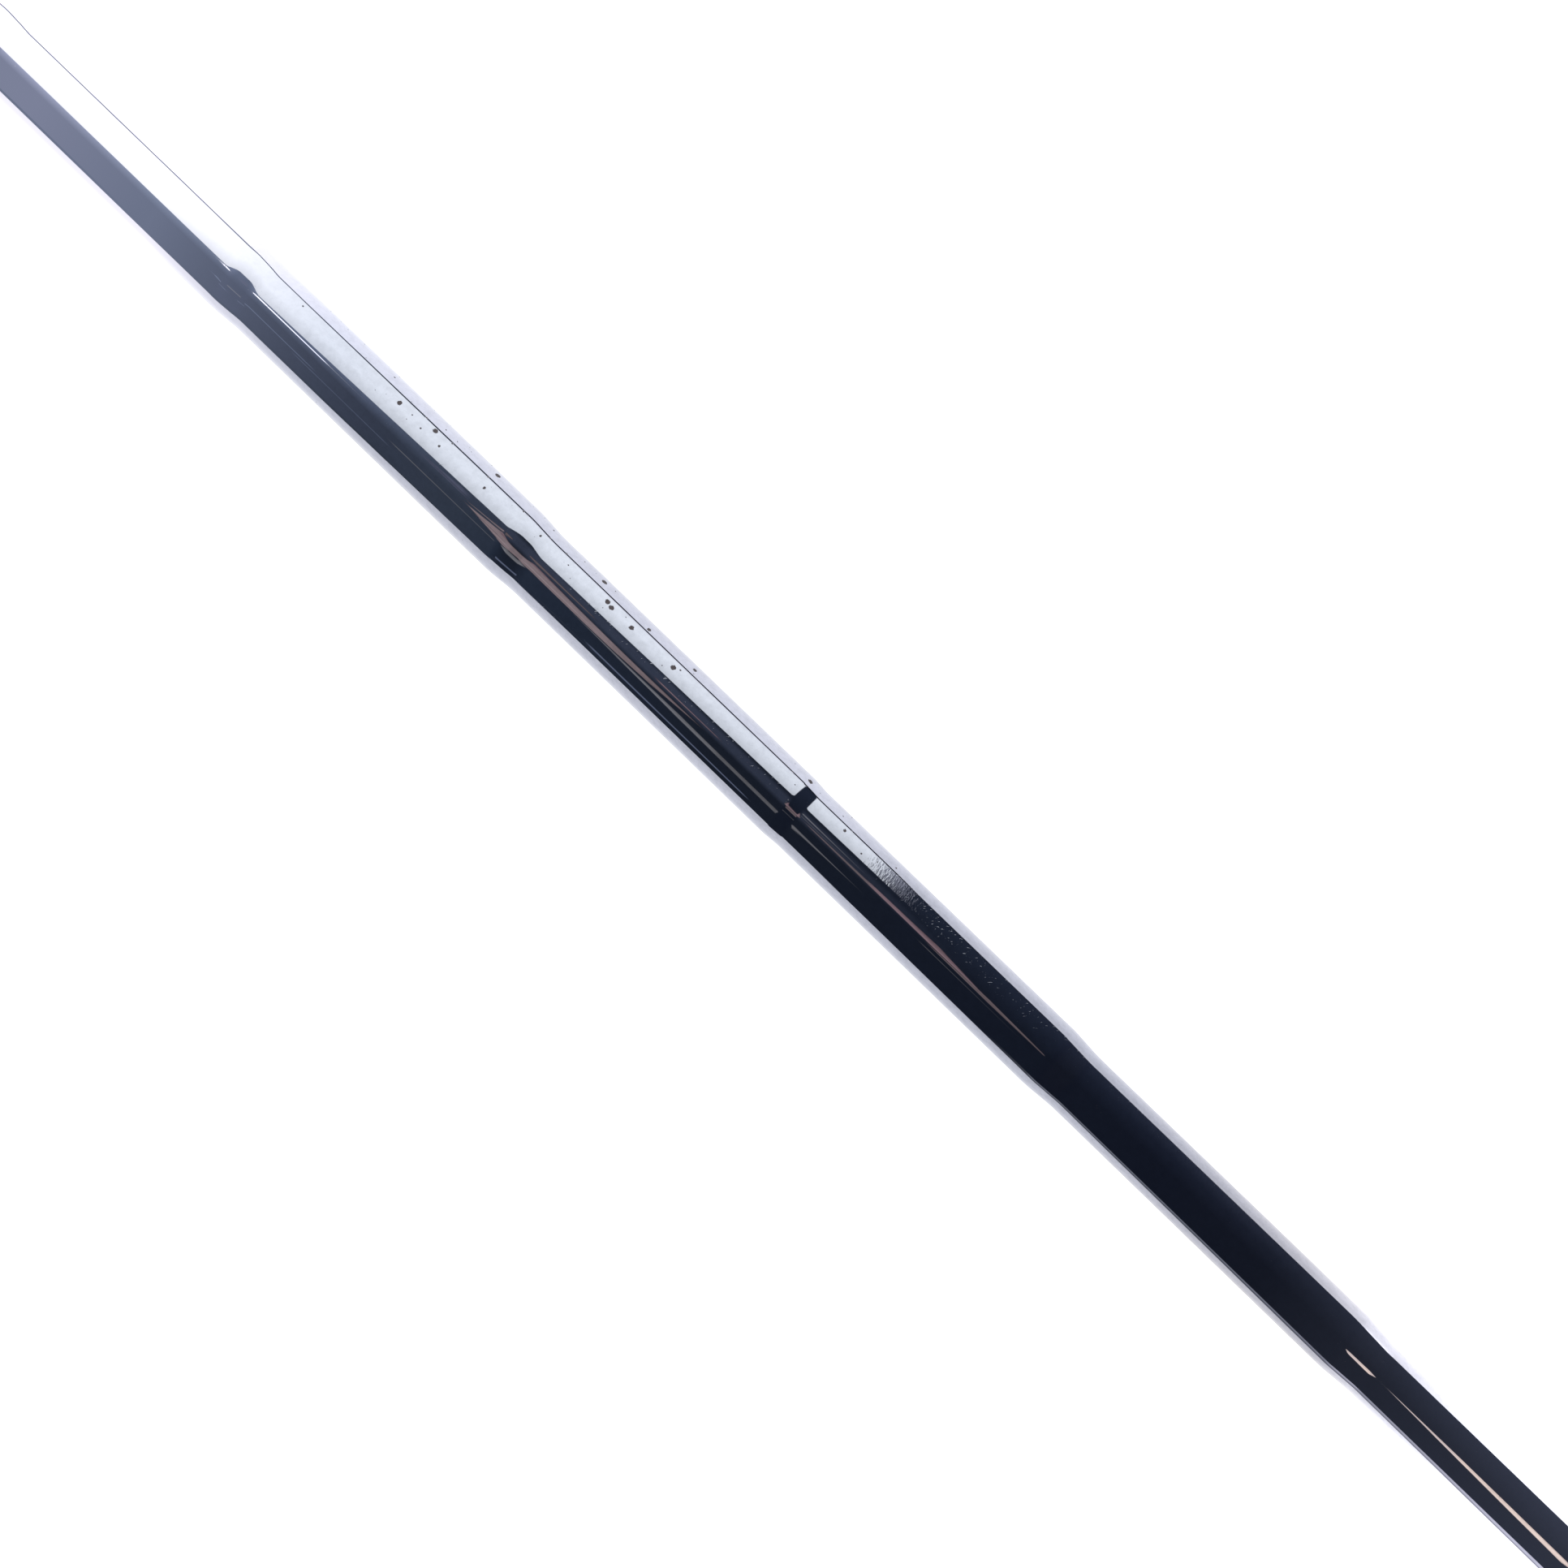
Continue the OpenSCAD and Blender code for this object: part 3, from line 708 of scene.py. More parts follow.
# Strips that hang low over the shaft: the broad warm streak on both sides of the third step, and
# the bright one near the head
NEAR_CARDS = (
    Card((-0.269, -0.252), (-4.4, 5.2), (0.6, 2.4), PINK, 0.32),
    Card((-0.269, -0.251), (-12.0, -11.8), (0.6, 12.8), BROWN, 0.34),
    Card((-0.251, -0.223), (-11.8, -17.0), (12.8, 10.8), BROWN, 0.34),
    Card((-0.223, -0.194), (-17.0, -17.0), (10.8, 8.6), BROWN, 0.34),
    Card((-0.194, -0.176), (-17.0, -14.8), (8.6, 6.0), BROWN, 0.29),
    Card((-0.176, -0.146), (-14.8, -6.6), (6.0, POINT), BROWN, 0.26),
    Card((-0.243, -0.208), (4.6, 6.2), (4.2, 1.4), PINK, 0.15),
    Card((-0.251, -0.200), (-3.0, -9.0), (3.4, POINT), ROSE, 0.24),
    Card((-0.172, -0.144), (3.8, 4.6), (2.0, 1.0), ROSE, 0.30),
    Card((0.178, 0.192), (-8.6, -9.0), (POINT, 0.8), GREY, 0.3),
    Card((0.190, 0.222), (-9.0, -11.8), (0.8, 5.0), (1.0, 0.80, 0.66), 1.1),
    Card((0.222, 0.300), (-11.8, -18.8), (5.0, 10.2), (1.0, 0.78, 0.60), 1.25),
)


def mirrored_in_shaft(n):
    """Where the eye over the shaft finds a spot mirrored in it: the slope along the club of what
    it mirrors there, and the turn over the club from straight up, in degrees."""
    along, side, height = n.split(n.row_mm())
    over, across = height - AXIS_Z, side - REST_SIDE
    away = n.math("SQRT", over * over + across * across)
    return (along - EYE_X) / (away + EYE_OVER_AXIS), n.arctan2(across, over)


def in_card(card, run, around):
    """How far a direction or a spot lies inside a strip, with soft edges."""
    start, end = card.run
    soft, overlap = 0.004, 0.002
    inside = run.span(start, end, *card.half) - abs(around - run.span(start, end, *card.turn))
    return inside.above(0.0, 1.6) * run.above(start - overlap, soft) * run.below(end + overlap, soft)


def strands(n, run, around):
    """Uneven brightness along a strip."""
    return 0.1 + 1.8 * n.noise(n.join(run * 8.0, around * 0.24), 1.0, 4.0, 0.6)


def wall_slant(place):
    """How far a place on the shaft lies past where the wall's foot starts to slant, in mm."""
    return (-72.0 - place).max(0.0).min(48.0)


def near_strip(n, run):
    """Light from the grey strip that lies beyond the sheet on the near side."""
    level = 0.20 * run.span(-0.03, 0.05) + 0.06 * run.span(0.11, 0.15) + 0.56 * run.span(0.16, 0.25)
    return n.scale(n.mix(run.span(0.10, 0.20), (1.0, 1.05, 1.12), (1.0, 0.96, 1.01)), level)


def room(n, p):
    """The room that polished metal mirrors: dark overhead, a white wall beyond the grip half."""
    run, around = mirrored_in_shaft(n)
    # The ceiling's colour by the slope along the club
    ceiling = (
        (-0.50, (0.10, 0.11, 0.14)),
        (-0.44, (0.046, 0.058, 0.074)),
        (-0.325, (0.054, 0.066, 0.090)),
        (-0.278, (0.047, 0.060, 0.080)),
        (-0.233, (0.026, 0.036, 0.054)),
        (-0.142, (0.0147, 0.0192, 0.0279)),
        (-0.02, (0.0113, 0.0152, 0.0243)),
        (0.08, (0.0097, 0.0125, 0.021)),
        (0.176, (0.0129, 0.0152, 0.022)),
        (0.40, (0.016, 0.018, 0.025)),
        (0.50, (0.10, 0.11, 0.14)),
    )
    overhead = n.ramp(run + 0.5, *[(slope + 0.5, color) for slope, color in ceiling])
    # It is lighter low on the far side towards the head, and past the top towards the grip
    lighter = around.span(4.0, 84.0) * run.span(-0.20, 0.0)
    lighter = lighter + around.span(-18.0, 8.0) * run.span(-0.26, -0.35, 0.0, 1.8)
    overhead = n.scale(overhead, 1.0 + lighter)
    # A pale band past the top, over the middle
    band = around.within(-8.0, 4.0, 20.0, 32.0) * run.within(-0.30, -0.24, -0.10, -0.02)
    pale = n.mix(run.span(-0.17, -0.10), (0.058, 0.070, 0.098), (0.042, 0.051, 0.073))
    overhead = n.mix(band * 0.85, overhead, pale)
    uneven = strands(n, run, around)
    for card in CARDS:
        light = n.scale(shade(card.color, card.level), uneven)
        overhead = n.mix(in_card(card, run, around), overhead, light)

    # The wall's top, seen ever steeper towards the grip, with a grey panel at its end
    top = (59.2 + 145.0 * run).min(46.9 + 92.3 * run).max(2.4)
    over = around - top
    panel = over.above(0.0, 1.0) * run.below(p.panel_end, 0.004)
    overhead = n.mix(panel, overhead, n.scale((1.0, 1.02, 1.12), around.span(42.0, 90.0, 0.14, 0.32)))
    level = (0.90 - 0.62 * run).min(1.03) * over.span(0.0, 38.0, 0.74, 1.0)
    foot = 93.8 - 0.085 * wall_slant(EYE_X + EYE_OVER_AXIS * run)
    wall = over.above(0.0, 1.0) * run.below(p.wall_end, 0.004) * around.below(foot, 0.3)
    # A white strip at the wall's foot on the near side
    near_foot = around.below(-89.3, 1.0) * run.within(-0.24, -0.21, -0.09, -0.07)
    paper = n.scale(shade(p.wall_color, 1.2), level)
    # The grey strip, low on the near side towards the head
    low = (around + 34.0 * run).below(-84.6, 1.0) * run.span(0.0, 0.03)
    overhead = n.mix(low, overhead, near_strip(n, run))
    return n.matt(BLACK, n.mix((wall + near_foot).clamp(), overhead, paper))


def studio_world(p):
    world = bpy.data.worlds.new("Studio")
    world.use_nodes = True
    n = Nodes(world.node_tree)
    camera, mirror = n.rays()
    lit = n.mix(camera, [p.sky] * 3, WHITE)
    color = n.mix(mirror, lit, (0.10, 0.11, 0.14))
    sky = n.add("ShaderNodeBackground", inputs={"Color": color, "Strength": 1.0})
    n.add("ShaderNodeOutputWorld", inputs={"Surface": sky})
    bpy.context.scene.world = world


def table_top(n, p):
    """White to the camera but for the shadow; to metal, a bright sheet with dark past its edges."""
    along, side, _ = n.split(n.row_mm())
    out = side - REST_SIDE
    away = abs(out)
    far_side = out.above(0.0, 2.0)
    # How steeply the shaft looks down on the spot, and where on the shaft the eye finds it
    # mirrored, in mm along it and as a slope
    near_flank, far_flank = 13.7, 14.6
    dip = n.arctan2(near_flank + (far_flank - near_flank) * far_side, away)
    place = (along + EYE_X / EYE_OVER_AXIS * away) / (1.0 + away / EYE_OVER_AXIS)
    run = (place - EYE_X) / EYE_OVER_AXIS

    # On the far side the sheet ends near the shaft, and the foot of the white wall lies past a gap
    back = wall_slant(place)
    edge = 7.8 - 0.09 * back - place.span(-6.0, -2.0, 0.0, 1.6) - place.span(16.0, 20.0, 0.0, 2.1)
    edge = edge - place.span(52.0, 62.0, 0.0, 1.1) - place.span(114.0, 119.0, 0.0, 3.0)
    foot = 3.8 - 0.085 * back - place.span(-6.0, -2.0, 0.0, 1.6)
    far = dip.above(edge.max(place.span(20.0, 14.0, 0.0, 1.2)), 0.3)
    far = far + dip.below(foot, 0.3) * place.below(17.0, 4.0)
    # On the near side it is cut off square near the grip and slanting towards the head
    square = (8.6 - 0.18 * (place + 106.0)).min(8.7)
    slanting = 0.075 * (place + 2.0) + 0.06 * (place - 75.0).max(0.0) + place.span(50.0, 70.0, 0.0, 0.8)
    near = dip.above(square.max(slanting), 0.3)
    sheet = (near + far_side * (far - near)).clamp()
    # Past it lies the dark room, and on the near side a grey strip with a dark gap along it
    beyond = n.mix(place.span(-50.0, -80.0), (0.016, 0.02, 0.03), (0.044, 0.057, 0.072))
    strip = (1 - far_side) * dip.above(place.span(110.0, 150.0, -0.5, 1.6), 1.0)
    gap = 0.075 * (place - 39.0) + 0.06 * (place - 110.0).max(0.0)
    strip = strip * (1 - dip.above(gap, 0.8) * place.span(60.0, 130.0, 0.75, 0.45))
    beyond = n.vector("ADD", beyond, n.scale(near_strip(n, run), strip))

    # It is a little darker away from the shaft, and glares towards the grip and the head
    dimmer = 0.25 * place.span(0.0, 20.0) * (away / 50.0).clamp()
    far_level = place.span(-112.0, -55.0, 1.22, 1.06) * (1 - dimmer)
    near_level = place.span(-20.0, 40.0, 1.0, 0.94) * (1 - 0.13 * (away / 100.0).clamp())
    near_level = near_level * away.span(16.0, 32.0, 1.0, 0.9)
    close = place.span(-74.0, -66.0, -0.3, 0.2) - place.span(50.0, 100.0, 0.0, 0.4)
    near_level = near_level * (1 + close * away.span(15.0, 8.0))
    level = near_level + far_side * (far_level - near_level)
    glare = place.span(115.0, 149.0) + far_side * place.span(104.0, 116.0, 0.0, 0.2)
    paper = n.mix(place.above(80.0, 40.0), WHITE, (1.03, 1.0, 0.965))
    mirrored = n.mix(sheet, beyond, n.scale(paper, level + glare))

    # Pale paper, lifted to white for the camera
    camera, mirror = n.rays()
    fibre = n.noise(n.row_mm(), 0.5, 3.0, 0.6)
    pulp = n.mix(fibre * 0.1, (0.90, 0.90, 0.90), (0.84, 0.84, 0.85))
    seen = n.matt(pulp, n.scale(WHITE, camera * p.lift))
    return n.add("ShaderNodeMixShader", inputs={0: mirror, 1: seen, 2: n.matt(BLACK, mirrored)})


def near_card(n):
    """The low strips, on a sheet over the shaft that only metal mirrors."""
    run, around = mirrored_in_shaft(n)
    uneven, light, cover = strands(n, run, around), BLACK, 0.0
    for card in NEAR_CARDS:
        inside = in_card(card, run, around)
        light = n.mix(inside, light, n.scale(shade(card.color, card.level), uneven))
        cover = inside.max(cover)
    clear = n.add("ShaderNodeBsdfTransparent")
    return n.add("ShaderNodeMixShader", inputs={0: cover, 1: clear, 2: n.matt(BLACK, light)})


def stage_object(name, corners, faces, material):
    """A part of the stage."""
    mesh = bpy.data.meshes.new(name)
    mesh.from_pydata(corners, [], faces)
    mesh.materials.append(material)
    built = bpy.data.objects.new(name, mesh)
    bpy.context.scene.collection.objects.link(built)
    return built


def sheet(name, center, width, depth, material):
    """A level sheet."""
    x, y, z = center
    corners = [(x + i * width / 2, y + j * depth / 2, z) for i, j in ((-1, -1), (1, -1), (1, 1), (-1, 1))]
    return stage_object(name, corners, [(0, 1, 2, 3)], material)


def vault(name, radius, length, material):
    """A little more than half a tube over the table, along the club."""
    corners = [
        (x, REST_SIDE * MM + radius * math.sin(t), AXIS_Z * MM + radius * math.cos(t))
        for t in np.radians(np.linspace(-95, 95, 96))
        for x in (-length / 2, length / 2)
    ]
    faces = [(i, i + 1, i + 3, i + 2) for i in range(0, len(corners) - 2, 2)]
    return stage_object(name, corners, faces, material)


def lamp(name, place, aim, size, watts, color):
    data = bpy.data.lights.new(name, "AREA")
    data.shape, data.size, data.energy, data.color = "DISK", size, watts, color
    lamp_object = bpy.data.objects.new(name, data)
    bpy.context.scene.collection.objects.link(lamp_object)
    lamp_object.location = place
    lamp_object.rotation_euler = (Vector(aim) - Vector(place)).to_track_quat("-Z", "Y").to_euler()
    lamp_object.visible_glossy = False


# ---- Settings --------------------------------------------------------------------------------


def color_prop(name, description, default):
    return FloatVectorProperty(
        name=name, description=description, default=default, subtype="COLOR", size=3, min=0, max=1
    )


class ShaftSettings(bpy.types.PropertyGroup):
    chrome: color_prop("Chrome", "Colour of clean chrome", (0.62, 0.64, 0.76))
    # Paler chrome near the grip is a painted highlight that brightens what the shaft mirrors there
    bright: color_prop("Bright chrome", "Colour of the chrome near the grip", (0.97, 0.93, 1.0))
    # Tint of the painted glow that stands in for light scattered by dust on the shaft
    haze_glow: color_prop("Haze", "Colour that a film of dust scatters in the room's light", (0.54, 0.62, 0.95))
    rust: color_prop("Rust", "Colour of the pits' rust", (0.055, 0.045, 0.05))
    ragged: FloatProperty(name="Ragged", description="Raggedness of the rust's edges in mm", default=1.1)
    specks: FloatProperty(name="Specks", description="Share of the plate's cells with a speck", default=0.24)
    # Strength of the painted glow near the grip
    film_glow: FloatProperty(name="Film", description="Strength of the film near the grip", default=0.19)


class GripSettings(bpy.types.PropertyGroup):
    rubber: color_prop("Rubber", "Colour of the grip", (0.022, 0.022, 0.024))
    worn: color_prop("Worn rubber", "Colour where it is worn and dusty", (0.085, 0.083, 0.080))
    tape: color_prop("Tape", "Colour of the tape under the grip", (0.70, 0.64, 0.50))
    cut_columns: IntProperty(name="Columns", description="Columns of cuts round the grip", default=20)
    cut_pitch: FloatProperty(name="Pitch", description="From one cut to the next in mm", default=5.0)
    cut_length: FloatProperty(name="Length", description="Length of a cut in mm", default=2.6)
    cut_width: FloatProperty(name="Width", description="Width of a cut in mm", default=0.9)
    cut_depth: FloatProperty(name="Depth", description="Depth of a cut in mm", default=0.38)
    cut_tilt: FloatProperty(name="Tilt", description="Slant of a cut in degrees", default=32.0)


class FerruleSettings(bpy.types.PropertyGroup):
    black: color_prop("Ferrule", "Colour of the ferrule", (0.010, 0.010, 0.011))
    trim: color_prop("Trim", "Colour of the trim rings", (0.78, 0.78, 0.79))


class HeadSettings(bpy.types.PropertyGroup):
    steel: color_prop("Steel", "Colour of the cast head", (0.60, 0.61, 0.65))
    face: color_prop("Face", "Colour of the face insert", (0.50, 0.51, 0.54))
    pad: color_prop("Pad", "Colour of the damping pad", (0.020, 0.020, 0.023))
    foam: color_prop("Badge tape", "Colour of the tape under the badge", (0.74, 0.71, 0.62))
    badge: color_prop("Badge", "Colour of the bare badge", (0.56, 0.57, 0.60))
    weight: color_prop("Weight", "Colour of the toe weight", (0.25, 0.25, 0.27))
    brass: color_prop("Brass", "Colour of the weight in the tip", (0.62, 0.46, 0.20))
    glue: color_prop("Adhesive", "Colour of the adhesive", (0.45, 0.33, 0.15))
    voxel: FloatProperty(name="Fineness", description="Fineness of the head's mesh in mm", default=0.35)
    rounds: IntProperty(name="Rounding", description="How far the casting's edges are eased", default=9)


class StageSettings(bpy.types.PropertyGroup):
    sky: FloatProperty(name="Sky", description="Level of the soft light from all round", default=0.72)
    lift: FloatProperty(name="Lift", description="How far the table is lifted to white", default=0.55)
    key_watts: FloatProperty(name="Key", description="Power of the large lamp in watts", default=9.0)
    wall_color: color_prop("Wall", "Colour of the white wall that metal mirrors", (0.97, 1.0, 0.955))
    wall_end: FloatProperty(name="Wall end", description="Slope along the club of its end", default=-0.067)
    panel_end: FloatProperty(name="Panel end", description="Slope along the club of its end", default=-0.056)
    view_distance: FloatProperty(
        name="Distance", description="From the camera in m", default=0.45, unit="LENGTH"
    )
    view_width: FloatProperty(
        name="Width", description="Width in view in m", default=0.2556, unit="LENGTH"
    )
    view_roll: FloatProperty(name="Slope", description="Slope of the club across the view", default=43.92)


# ---- Operators -------------------------------------------------------------------------------


class CLUB_OT_stage(bpy.types.Operator):
    """Makes the table, the light, what metal mirrors, and the camera"""

    bl_idname = "club.stage"
    bl_label = "Stage"

    def execute(self, context):
        p = context.scene.club_stage
        studio_world(p)
        sheet("Table", (0, 0, 0), 12.0, 12.0, shaded("Table", table_top, p))
        low_strips = shaded("Near card", near_card)
        card = sheet("Near card", (0.04, REST_SIDE * MM, 0.214), 0.36, 0.2, low_strips)
        around = vault("Room", 0.6, 5.0, shaded("Room", room, p))
        for unseen in (card, around):
            unseen.visible_camera = unseen.visible_diffuse = unseen.visible_shadow = False
            unseen.active_material.cycles.emission_sampling = "NONE"
        lamp("Key", (-0.5, 0.9, 1.3), (0, 0, 0), 1.1, p.key_watts * 2, (1.0, 0.99, 0.97))
        lamp("Fill", (0.9, -1.0, 1.0), (0, 0, 0), 1.4, p.key_watts, (0.97, 0.98, 1.0))
        self.camera(context, p)
        context.scene.view_settings.view_transform = "Standard"
        return {"FINISHED"}

    def camera(self, context, p):
        """Looks down at the shaft's fourth step, from a little beyond it and from the far side."""
        fourth_step = CLUB @ Vector((CAP_T + step_middle(3), 0, 0))
        off_centre = Vector((-3.4, 2.0, 0))
        aim = (fourth_step + off_centre) * MM
        back = Vector((0.113, 0.1045, 0.988)).normalized()
        along = (Vector((1, 0, 0)) - back * back.x).normalized()
        across = back.cross(along)
        slope = math.radians(p.view_roll)
        right = along * math.cos(slope) + across * math.sin(slope)
        up = -along * math.sin(slope) + across * math.cos(slope)
        data = bpy.data.cameras.new("Camera")
        data.lens = data.sensor_width * p.view_distance / p.view_width
        data.clip_start, data.clip_end = 0.01, 50
        camera = bpy.data.objects.new("Camera", data)
        camera.matrix_world = Matrix.Translation(aim + back * p.view_distance) @ Matrix(
            (right, up, back)
        ).transposed().to_4x4()
        context.scene.collection.objects.link(camera)
        context.scene.camera = camera


class CLUB_OT_shaft(bpy.types.Operator):
    """Makes the chromed step-tapered tube"""

    bl_idname = "club.shaft"
    bl_label = "Shaft"

    def execute(self, context):
        p = context.scene.club_shaft
        s = shaft_stations()
        r = shaft_radius(s)
        outside = list(zip(s + CAP_T, r))
        inside = list(zip(s + CAP_T, r - SHAFT_WALL))[::-1]
        verts, faces = revolve(outside + inside, 192)
        mesh_piece("Shaft", verts, faces, surface("Shaft chrome", shaft_chrome, p), "shaft")
        return {"FINISHED"}


class CLUB_OT_grip(bpy.types.Operator):
    """Makes the rubber grip, its cap, and the tape under it"""

    bl_idname = "club.grip"
    bl_label = "Grip"

    def execute(self, context):
        p = context.scene.club_grip
        material = surface("Grip rubber", rubber, p.rubber, p.worn)
        segments, ring_step, mouth_round = 240, 0.55, 0.8
        x = np.arange(CAP_T, GRIP_L - mouth_round, ring_step)
        mouth_r = grip_radius(GRIP_L)
        lip = [
            (GRIP_L - mouth_round + mouth_round * math.sin(a), mouth_r - mouth_round * (1 - math.cos(a)))
            for a in np.linspace(0, math.pi / 2, 6)
        ]
        outside = list(zip(x, grip_radius(x))) + lip
        verts, faces = revolve(outside, segments, grip_pattern(p), closed=False)
        bore = BUTT_D / 2 + TAPE_T
        inner, inner_faces = revolve([(GRIP_L, bore), (CAP_T, bore)], segments, closed=False)

        # The faces that close both ends, between the outside and the bore
        count = len(verts)
        last = count - segments
        j = np.arange(segments)
        k = (j + 1) % segments
        mouth = np.stack([last + j, count + j, count + k, last + k], -1)
        back = np.stack([count + segments + j, j, k, count + segments + k], -1)
        faces = np.concatenate([faces, inner_faces + count, mouth, back])
        mesh_piece("Grip", np.concatenate([verts, inner]), faces, material, "grip", sharp=50)
        self.cap(p)
        finish_node("grip_tape", surface("Grip tape", paper_tape, p.tape))
        return {"FINISHED"}

    def cap(self, p):
        """A rounded end cap with a shallow moulded ring round its vent hole."""
        edge, ring_in, ring_out, sunk, flank, bevel = 1.2, 4.2, 8.6, 0.35, 0.5, 0.25
        radius = grip_radius(0)
        line = [(0.0, VENT_D / 2 + bevel), (0.0, ring_in)]
        line += [(sunk * ease(t), ring_in + flank * t) for t in np.linspace(0, 1, 6)[1:]]
        line += [(sunk * ease(1 - t), ring_out + flank * t) for t in np.linspace(0, 1, 6)]
        line += [
            (edge - edge * math.cos(a), radius - edge + edge * math.sin(a))
            for a in np.linspace(0, math.pi / 2, 10)
        ]
        line += [(CAP_T, float(grip_radius(CAP_T))), (CAP_T, VENT_D / 2), (bevel, VENT_D / 2)]
        verts, faces = revolve(line, 160)
        material = surface("Cap rubber", rubber, shade(p.rubber, 0.8), p.worn, 0.42)
        mesh_piece("Grip_cap", verts, faces, material, "grip_cap")


class CLUB_OT_ferrule(bpy.types.Operator):
    """Makes the black ferrule and its trim rings"""

    bl_idname = "club.ferrule"
    bl_label = "Ferrule"

    def execute(self, context):
        p = context.scene.club_ferrule
        black = surface("Ferrule plastic", gloss_plastic, p.black)
        trim = surface("Trim plastic", gloss_plastic, p.trim)
        lip, draft = 0.5, 1e-3
        heights = np.linspace(0, FERRULE_L - lip, 60)
        line = [(FERRULE_X - z, ferrule_radius(z)) for z in heights if not self.in_trim(z)]
        for low, high in self.trim_spans():
            floor_r = ferrule_radius(low) - TRIM_T
            line += [(FERRULE_X - low, ferrule_radius(low)), (FERRULE_X - low - draft, floor_r)]
            line += [(FERRULE_X - high + draft, floor_r), (FERRULE_X - high, ferrule_radius(high))]
        line.sort(key=lambda point: -point[0])
        top = FERRULE_X - FERRULE_L
        line += [
            (top + lip - lip * math.sin(a), ferrule_radius(FERRULE_L) - lip * (1 - math.cos(a)))
            for a in np.linspace(0.2, math.pi / 2, 6)
        ]
        line += [(top, TIP_D / 2), (FERRULE_X, TIP_D / 2)]
        verts, faces = revolve(line, 128)
        mesh_piece("Ferrule", verts, faces, black, "ferrule")
        self.rings(trim)
        return {"FINISHED"}

    def trim_spans(self):
        """Where each trim ring starts and ends, up from the hosel."""
        starts = [TRIM_START + i * TRIM_PITCH for i in range(TRIM_N)]
        return [(start, start + TRIM_W) for start in starts]

    def in_trim(self, z):
        return any(low <= z <= high for low, high in self.trim_spans())

    def rings(self, material):
        """The light rings, a little proud of the collar, with eased edges."""
        proud, eased = 0.03, 0.15
        all_verts, all_faces = [], []
        for low, high in self.trim_spans():
            inner = ferrule_radius(low) - TRIM_T
            line = [
                (FERRULE_X - low, inner),
                (FERRULE_X - low, ferrule_radius(low) - eased + proud),
                (FERRULE_X - low - eased, ferrule_radius(low) + proud),
                (FERRULE_X - high + eased, ferrule_radius(high) + proud),
                (FERRULE_X - high, ferrule_radius(high) - eased + proud),
                (FERRULE_X - high, inner),
            ]
            verts, faces = revolve(line, 128)
            all_faces.append(faces + sum(len(v) for v in all_verts))
            all_verts.append(verts)
        mesh_piece(
            "Trim_rings",
            np.concatenate(all_verts),
            np.concatenate(all_faces),
            material,
            "ferrule_rings",
            sharp=60,
        )


class CLUB_OT_head(bpy.types.Operator):
    """Makes the cast head with its eased edges, and finishes its face insert"""

    bl_idname = "club.head"
    bl_label = "Head"

    def execute(self, context):
        p = context.scene.club_head
        material = surface("Head steel", satin_steel, p.steel, 0.0)
        mesh = soft_copy("head_body", p.voxel, p.rounds)
        place_piece("Head", mesh, material, "head_body")
        finish_node("face_insert", surface("Face steel", satin_steel, p.face, 1.0))
        return {"FINISHED"}


class CLUB_OT_cavity(bpy.types.Operator):
    """Finishes the pad, the tape and the bare badge in the cavity"""

    bl_idname = "club.cavity"
    bl_label = "Cavity"

    def execute(self, context):
        p = context.scene.club_head
        finish_node("cavity_damper", surface("Damper rubber", rubber, p.pad, (0.07, 0.07, 0.07)))
        finish_node("badge_tape", surface("Badge tape", paper_tape, p.foam))
        finish_node("badge", surface("Badge aluminium", bare_badge, p.badge))
        return {"FINISHED"}


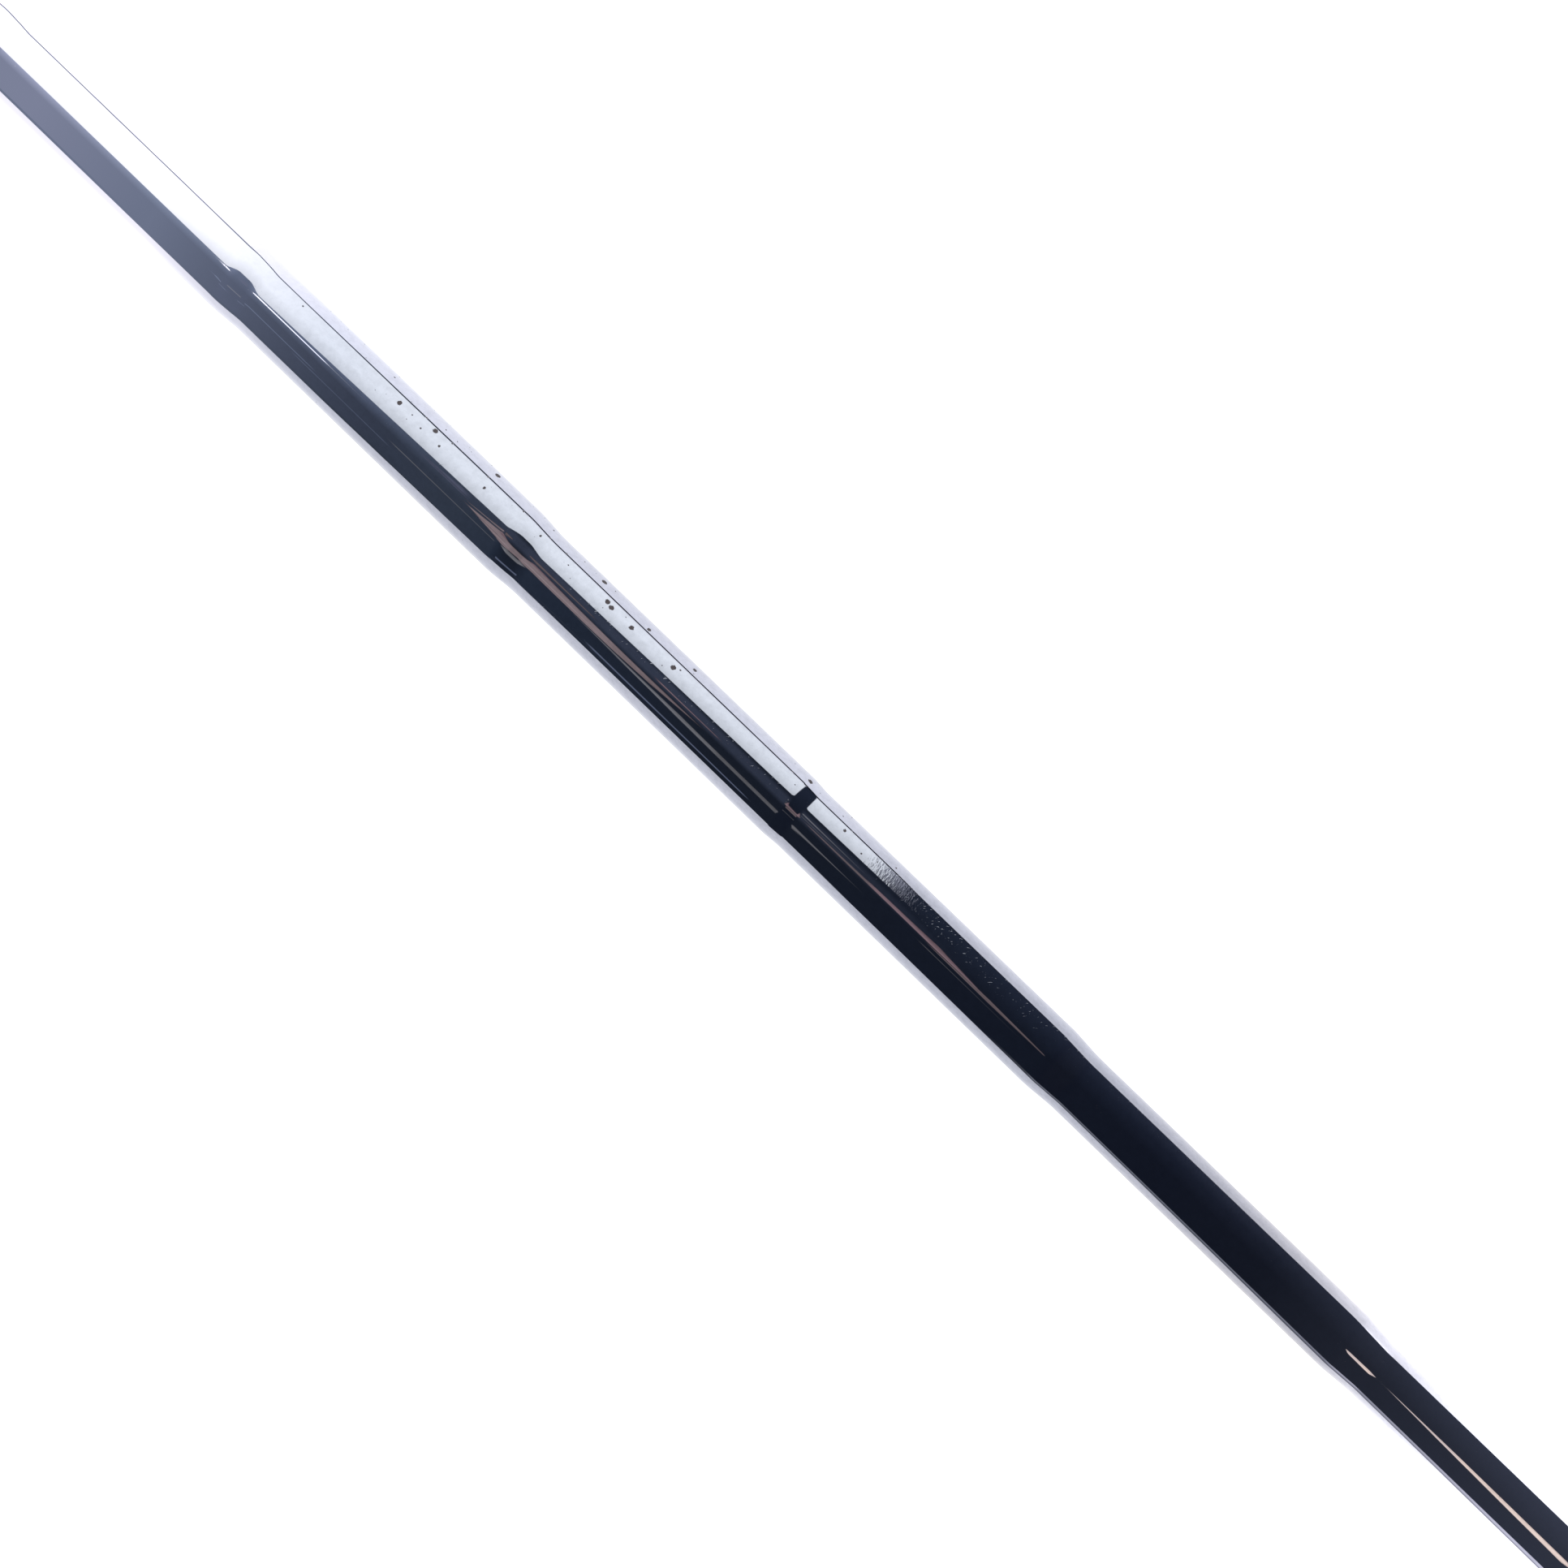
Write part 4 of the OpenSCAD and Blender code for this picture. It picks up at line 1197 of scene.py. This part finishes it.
class CLUB_OT_weights(bpy.types.Operator):
    """Makes the toe weight, and finishes the weight in the tip and the adhesive"""

    bl_idname = "club.weights"
    bl_label = "Weights"

    def execute(self, context):
        p = context.scene.club_head
        radius, chamfer, length, centre = TOE_WEIGHT_D / 2, 0.35, TOE_WEIGHT_L, 0.02
        # A centre mark and a turned groove in its end, then the chamfer and the side
        line = [(0.35, centre), (0.0, 0.9), (0.0, 1.6), (0.22, 1.8), (0.22, 2.0), (0.0, 2.2)]
        line += [(0.0, radius - chamfer), (chamfer, radius), (length, radius), (length, centre)]
        verts, faces = revolve(line, 96)
        place = (
            HEAD
            @ Matrix.Translation((TOE_X - TOE_WEIGHT_IN, -SOLE_W + TOE_WEIGHT_SUNK, TOE_WEIGHT_Z))
            @ turn(90, "Z")
        )
        metal = surface("Weight metal", turned_metal, p.weight, 0.3)
        mesh_piece("Toe_weight", verts, faces, metal, "toe_weight", frame_matrix=place)
        finish_node("tip_weight", surface("Plug brass", turned_metal, p.brass, 0.28))
        finish_node("hosel_epoxy", surface("Adhesive", resin, p.glue))
        return {"FINISHED"}


GROUPS = {
    "club_stage": StageSettings,
    "club_shaft": ShaftSettings,
    "club_grip": GripSettings,
    "club_ferrule": FerruleSettings,
    "club_head": HeadSettings,
}
OPERATORS = (
    CLUB_OT_stage,
    CLUB_OT_shaft,
    CLUB_OT_grip,
    CLUB_OT_ferrule,
    CLUB_OT_head,
    CLUB_OT_cavity,
    CLUB_OT_weights,
)


class CLUB_PT_panel(bpy.types.Panel):
    """Lists the club's pieces and their settings"""

    bl_idname = "CLUB_PT_panel"
    bl_label = "Golf iron"
    bl_space_type = "VIEW_3D"
    bl_region_type = "UI"
    bl_category = "Golf iron"

    def draw(self, context):
        for operator in OPERATORS:
            self.layout.operator(operator.bl_idname)
        for group, kind in GROUPS.items():
            box = self.layout.box()
            for name in kind.__annotations__:
                box.prop(getattr(context.scene, group), name)


def register():
    for kind in (*GROUPS.values(), *OPERATORS, CLUB_PT_panel):
        bpy.utils.register_class(kind)
    for group, kind in GROUPS.items():
        setattr(bpy.types.Scene, group, PointerProperty(type=kind))


def unregister():
    for group in GROUPS:
        delattr(bpy.types.Scene, group)
    for kind in reversed((*GROUPS.values(), *OPERATORS, CLUB_PT_panel)):
        bpy.utils.unregister_class(kind)


def main():
    register()
    bpy.ops.club.stage()
    bpy.ops.club.shaft()
    bpy.ops.club.grip()
    bpy.ops.club.ferrule()
    bpy.ops.club.head()
    bpy.ops.club.cavity()
    bpy.ops.club.weights()


if __name__ == "__main__":
    main()
